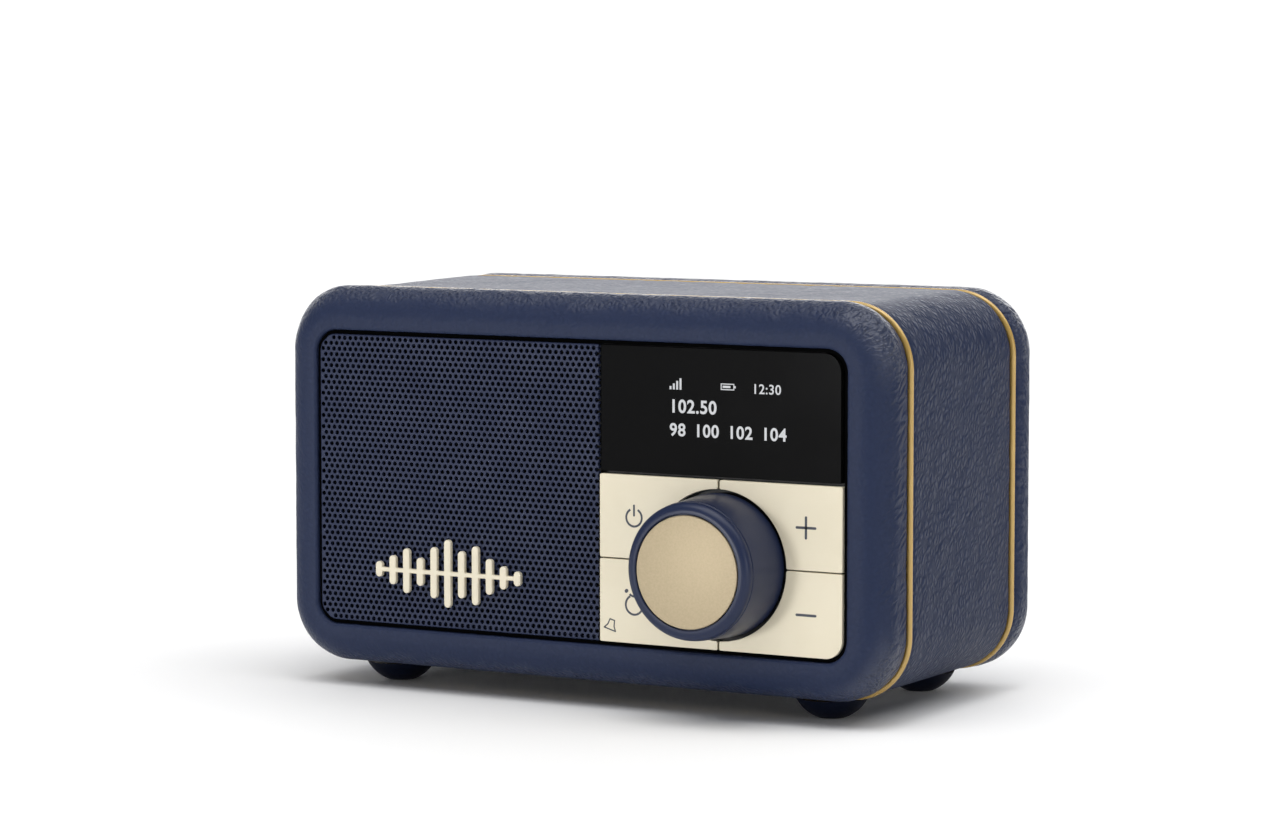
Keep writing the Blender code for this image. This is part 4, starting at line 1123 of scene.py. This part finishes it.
# ---- Knob ----
def make_knob():
    """The knob with a fine groove behind its rounded rim, and the metal disc let into its face."""
    base, base_end, skirt, wall, chamfer = 0.0133, -0.0006, 0.0010, 0.0016, 0.0002
    rim, edge, groove = 0.01262, 0.0016, 0.00010
    bore, hub, hub_end, bore_floor, ceiling = 0.0032, 0.0052, -0.0027, -0.0105, -0.0098
    disc, recess, recess_play = 0.0104, 0.0008, 0.0002
    turn, floor = KNOB_FACE + edge, KNOB_FACE + recess
    profile = [(base - chamfer, skirt), (base, skirt - chamfer), (base, base_end)]
    profile += [(rim + 0.0001, turn + 0.0006), (rim - groove, turn + 0.00045), (rim, turn + 0.0003)]
    profile += arc((rim - edge, turn), edge, 0, -90, 14)
    well = disc + recess_play
    profile += [(well + 0.00015, KNOB_FACE), (well, KNOB_FACE + 0.0002), (well, floor), (0, floor)]
    profile += [(0, bore_floor), (bore, bore_floor), (bore, hub_end), (hub, hub_end), (hub, ceiling)]
    profile += [(rim - wall - 0.0004, ceiling), (base - wall, skirt)]
    place = on_front(KNOB_X, KNOB_Z)
    shell = turned(profile, place, steps=128)
    finish_piece("knob_shell", shell, satin_navy(), "knob", ["knob_body"])

    top, back = KNOB_FACE + 0.0001, KNOB_FACE + 0.0005
    coin = [(0, top), (disc - 0.00025, top), (disc - 0.00008, top + 0.00007), (disc, top + 0.00025)]
    coin = turned(coin + [(disc, back), (0, back)], place, steps=128)
    finish_piece("knob_disc", coin, blasted_metal(), "knob", ["knob_insert"])


# ---- Rear ----
def make_rear_grille():
    low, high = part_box("rear_grille")
    x, _, z = middle_of("rear_grille")
    radius, plain_rim = (high.x - low.x) / 2, 0.0016
    rows = int(radius / HOLE_ROW)
    rings = []
    for row in range(-rows, rows + 1):
        for column in range(-rows, rows + 1):
            across, up = (column + 0.5 * (row % 2)) * HOLE_PITCH, row * HOLE_ROW
            if math.hypot(across, up) < radius - plain_rim:
                rings.append(arc((x + across, z + up), HOLE_RADIUS, 0, 360, HOLE_SIDES)[:-1])
    plate = perforated(arc((x, z), radius, 0, 360, 96)[:-1], rings, *depths_of("rear_grille"))
    finish_piece("rear_mesh", plate, painted_mesh(), "cabinet", ["rear_grille"])


def make_screws(metal):
    """Pan-head screws with a cross recess."""
    head, recess, core, thread = 0.0010, 0.0006, 0.0009, 0.0011
    arm, half = 0.00115, 0.00022
    quarter_turns = [Matrix.Rotation(math.radians(90 * turn), 2) for turn in range(4)]
    corner = [Vector(point) for point in ((arm, half), (half, half), (half, arm))]
    cross = [turn @ point for turn in quarter_turns for point in corner]
    for name in ("screw_low_left", "screw_low_right", "screw_top_left", "screw_top_right"):
        low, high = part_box(name)
        x, _, z = middle_of(name)
        tip, top = depths_of(name)
        radius, seat, floor = (high.x - low.x) / 2, top - head, top - recess
        face = radius * 0.72
        ring = [Vector((x, z)) + point for point in cross]
        crown = perforated(arc((x, z), face, 0, 360, 32)[:-1], [ring], top, floor)
        flank = [(face, floor), (face, top), (radius * 0.88, top - 0.00015)]
        flank += [(radius * 0.98, top - 0.0005), (radius, seat), (0, seat), (0, floor)]
        shank = [(0, tip), (core, tip), (thread, tip + 0.0010), (thread, seat), (0, seat)]
        place = on_front(x, z)
        parts = [crown, turned(flank, place, steps=48), turned(shank, place, steps=24)]
        finish_piece(f"{name}_cross", joined(parts), metal, "cabinet", [name])


def make_rear_signs():
    """Small raised signs under the sockets: a bolt for the power, and a pair of headphones."""
    below, band, ear, print_height = Vector((0, 0.0058)), 0.0013, -0.0009, 0.00003
    usb, jack = (middle_of(node).xz - below for node in ("usb_socket", "headphone_jack"))
    half_bolt = [(0.0003, 0.0015), (-0.0008, -0.0002), (-0.0001, -0.0002)]
    bolt = half_bolt + [(-x, -z) for x, z in half_bolt]
    shapes = [[tuple(usb + Vector(point)) for point in bolt], bow(jack, band, 0, 180, THIN_LINE)]
    for side in (-1, 1):
        start, end = (jack + Vector((side * band, height)) for height in (-0.0001, ear))
        shapes.append(stroke(start, end, 0.00030))
    face = depths_of("rear_panel")[1]
    signs = joined([slab(shape, face - LIT_DEPTH, face + print_height) for shape in shapes])
    finish_piece("socket_signs", signs, printed_ink(), "cabinet", smooth=False)


# ---- Aerial ----
def make_aerial(chrome):
    """The bush in the panel, and the mast: a clamped tube, two that slide out of it, and the tip."""
    low, high = depths_of("aerial_socket")
    stem, sleeve, flange, flange_depth = 0.0017, 0.0030, 0.0050, 0.0005
    seat = high - flange_depth
    socket = [(stem, low), (sleeve, low), (sleeve, seat), (flange - 0.0002, seat)]
    socket += [(flange, high - 0.0003), (flange - 0.0002, high), (stem, high)]
    bush = turned(socket, on_front(AERIAL_X, AERIAL_Z), steps=64)
    finish_piece("aerial_bush", bush, chrome, "cabinet", ["aerial_socket"])

    pin, wall = Vector((AERIAL_X, FRONT_Y + MAST_DEPTH, AERIAL_Z)), 0.00025
    make_first_tube(chrome, pin, wall)
    for number, body in ((2, "aerial_second"), (3, "aerial_third")):
        node = f"aerial_tube_{number}"
        start, end, radius = mast_ends(node)
        inner = radius - wall
        profile = [(inner, start), (radius, start), (radius, end + 0.0002), (radius - 0.0002, end)]
        tube = turned(profile + [(inner, end)], pin, "X", 48)
        finish_piece(f"mast_tube_{number}", tube, chrome, body, [node])
    make_aerial_tip(chrome, pin)


def mast_ends(node):
    """Where a part of the mast starts and ends along it, from the pin, and its radius."""
    low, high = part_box(node)
    return high.x - AERIAL_X, low.x - AERIAL_X, (high.z - low.z) / 2


def make_first_tube(chrome, pin, wall):
    """The outer tube, rolled in at its mouth, with the flat tongue that the pin goes through."""
    _, end, radius = mast_ends("aerial_tube_1")
    lip, root, bore_end, taper = 0.0012, -0.0044, -0.0070, 0.0004
    mouth, ridge, inner = radius - wall * 2.4, radius - 0.0002, radius - wall
    profile = [(0, root + taper), (radius - taper, root + taper), (radius, root), (radius, end + lip)]
    profile += [(ridge, end + lip - 0.0002), (ridge, end + 0.0003), (radius - taper, end)]
    profile += [(mouth, end), (mouth, end + lip), (inner, end + lip), (inner, bore_end), (0, bore_end)]
    half, tongue_radius, tongue_end = 0.0010, 0.0016, -0.0043
    outline = arc((0, 0), tongue_radius, -90, 90, 20)
    outline = [(tongue_end, -tongue_radius)] + outline + [(tongue_end, tongue_radius)]
    tongue = extruded([pin + Vector((x, y, -half)) for x, y in outline], (0, 0, 2 * half))
    tube = joined([turned(profile, pin, "X", 48), tongue])
    finish_piece("mast_tube_1", tube, chrome, "aerial_mast", ["aerial_tube_1"])


def make_aerial_tip(chrome, pin):
    """The innermost rod and its rounded tip."""
    start, end, tip_radius = mast_ends("aerial_rod")
    radius, length, round_off, chamfer = 0.00105, 0.0030, 0.0010, 0.0002
    shoulder = end + length
    profile = [(0, start), (radius, start), (radius, shoulder)]
    profile += [(tip_radius - chamfer, shoulder), (tip_radius, shoulder - chamfer)]
    profile += arc((tip_radius - round_off, end + round_off), round_off, 0, -90, 10)
    tip = turned(profile + [(0, end)], pin, "X", 48)
    finish_piece("mast_tip", tip, chrome, "aerial_tip", ["aerial_rod"])


# ---- Soft rings round the moving cones ----
WEDGES, WEDGE_STEPS = 12, 5


def half_roll(lips, roll, front, thickness):
    """A flat ring between two radii, with a half-round roll in it that bulges to the front."""
    (inner, outer), (centre, radius), back = lips, roll, front + thickness
    outside = arc((centre, front), radius, 360, 180, 12)
    inside = arc((centre, back), radius - thickness, 180, 360, 12)
    return [(outer, front)] + outside + [(inner, front), (inner, back)] + inside + [(outer, back)]


def wedge_of(profile, centre, start, end):
    """The solid that a closed outline of (radius, depth) points sweeps between two angles round Y."""
    bm = bmesh.new()
    rings = []
    for step in range(WEDGE_STEPS + 1):
        angle = start + (end - start) * step / WEDGE_STEPS
        places = [(r * math.cos(angle), depth, r * math.sin(angle)) for r, depth in profile]
        rings.append([bm.verts.new(centre + Vector(place)) for place in places])
    bm.faces.new(rings[0])
    bm.faces.new(rings[-1])
    for one, other in zip(rings, rings[1:]):
        bridge(bm, one, other)
    return bm


def make_soft_ring(node, material, lips, roll):
    """A rubber roll in wedges, from its outer lip at the cabinet to its inner lip at a cone; the wedges
    ride on no body.
    """
    thickness = 0.0004
    profile = half_roll(lips, roll, depths_of(node)[1] - thickness, thickness)
    x, _, z = middle_of(node)
    centre, half = on_front(x, z), math.pi / WEDGES
    for wedge in range(WEDGES):
        middle = 2 * half * wedge
        bm = wedge_of(profile, centre, middle - half, middle + half)
        piece = finish_piece(f"{node}_{wedge + 1}", bm, material, None, [node])
        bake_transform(piece)


def make_soft_rings(material):
    make_soft_ring("speaker_surround", material, lips=(0.0138, 0.0200), roll=(0.0165, 0.0013))
    make_soft_ring("passive_surround", material, lips=(0.0102, 0.0188), roll=(0.0138, 0.0020))


# ---- Parts that keep the CAD model's shape ----
def give(material, *nodes):
    for node in nodes:
        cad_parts[node].data.materials[0] = material


def finish_inner_parts(metal, chrome, rubber):
    give(rear_moulding(), "rear_panel")
    give(black_moulding(), "front_baffle", "battery_cradle", "headphone_jack", "encoder_plunger")
    give(fibreboard(), "front_frame_core", "rear_frame_core", "cabinet_shell")
    give(metal, "encoder_body", "encoder_shaft", "speaker_basket", "speaker_top_plate", "speaker_yoke",
         "tuner_can", "usb_socket", "aerial_pin")
    give(chrome, "aerial_swivel")
    give(sintered_ferrite(), "speaker_magnet", "passive_plate")
    give(board_laminate(), "control_board", "main_board")
    give(wound_copper(), "voice_coil")
    paper = fibrous("paper_fibre", (0.020, 0.020, 0.022), (0.045, 0.045, 0.048))
    give(paper, "speaker_cone", "speaker_dust_cap")
    give(fibrous("woven_cloth", (0.50, 0.30, 0.11), (0.62, 0.40, 0.17), 1600.0), "speaker_spider")
    give(rubber, "speaker_lead", "battery_lead")
    give(cell_film(), "battery_cell")
    give(display_glass(), "display_module")


# ---- Floor, light and camera ----
def make_floor():
    """A white sheet that reaches far behind the radio."""
    bm = bmesh.new()
    bm.faces.new([bm.verts.new((x, y, 0)) for x, y in rectangle(-1.5, -1.5, 1.5, 3.5)])
    placed("floor", mesh_of("floor", bm, floor_paper()))


def place_light(name, kind, place, power, **settings):
    """A light that faces the radio's middle."""
    light = bpy.data.lights.new(name, kind)
    light.energy = power
    for setting, value in settings.items():
        setattr(light, setting, value)
    obj = placed(name, light)
    obj.location = place
    obj.rotation_euler = (Vector((0, 0, CENTRE_Z)) - Vector(place)).to_track_quat("-Z", "Y").to_euler()


def make_light():
    """Lights overhead, behind and before the radio, in front and on the right, and a white backdrop."""
    place_light("overhead_behind", "SUN", (0.40, 0.20, 1.00), 1.6, angle=math.radians(60))
    place_light("overhead_before", "SUN", (-0.06, -0.32, 1.00), 1.35, angle=math.radians(46))
    place_light("front", "AREA", (-0.45, -1.42, 0.03), 10.0, size=0.24)
    place_light("right", "AREA", (1.25, -0.35, 0.16), 2.4, size=0.60)
    world = bpy.data.worlds.new("studio")
    world.use_nodes = True
    tree = world.node_tree
    background = tree.nodes["Background"]
    background.inputs["Color"].default_value = (1.0, 1.0, 1.0, 1.0)
    backdrop = (-0.50, 0.86, 0.0)  # the way to it
    inputs = {0: add_node(tree, "ShaderNodeTexCoord").outputs["Generated"], 1: backdrop}
    towards_it = add_node(tree, "ShaderNodeVectorMath", inputs, operation="DOT_PRODUCT").outputs["Value"]
    glow = remap(tree, towards_it, 0.72, 0.95, 0.20, 3.30)
    seen = add_node(tree, "ShaderNodeLightPath").outputs["Is Camera Ray"]  # it all looks white
    tree.links.new(calculate(tree, "MAXIMUM", glow, seen), background.inputs["Strength"])
    bpy.context.scene.world = world


def make_camera():
    """A long lens that looks from the front right, a little above the radio."""
    data = bpy.data.cameras.new("camera")
    data.sensor_width = 36.0
    data.lens = 113.04
    camera = placed("camera", data)
    camera.location = (0.38030, -0.67114, 0.12015)
    camera.rotation_euler = (math.radians(84.935), 0.0, math.radians(29.681))
    bpy.context.scene.camera = camera
    bpy.context.scene.view_settings.view_transform = "Standard"


def main():
    metal, chrome = stamped_steel(), bright_chrome()
    rubber = soft_rubber("roll_rubber", (0.010, 0.010, 0.011), (0.016, 0.016, 0.018))
    make_leather()
    make_piping()
    make_surround()
    make_key_ribs()
    make_feet()
    make_grille()
    make_badge()
    make_window()
    make_display()
    make_keys()
    make_knob()
    make_rear_grille()
    make_screws(metal)
    make_rear_signs()
    make_aerial(chrome)
    make_soft_rings(rubber)
    finish_inner_parts(metal, chrome, rubber)
    make_floor()
    make_light()
    make_camera()


main()
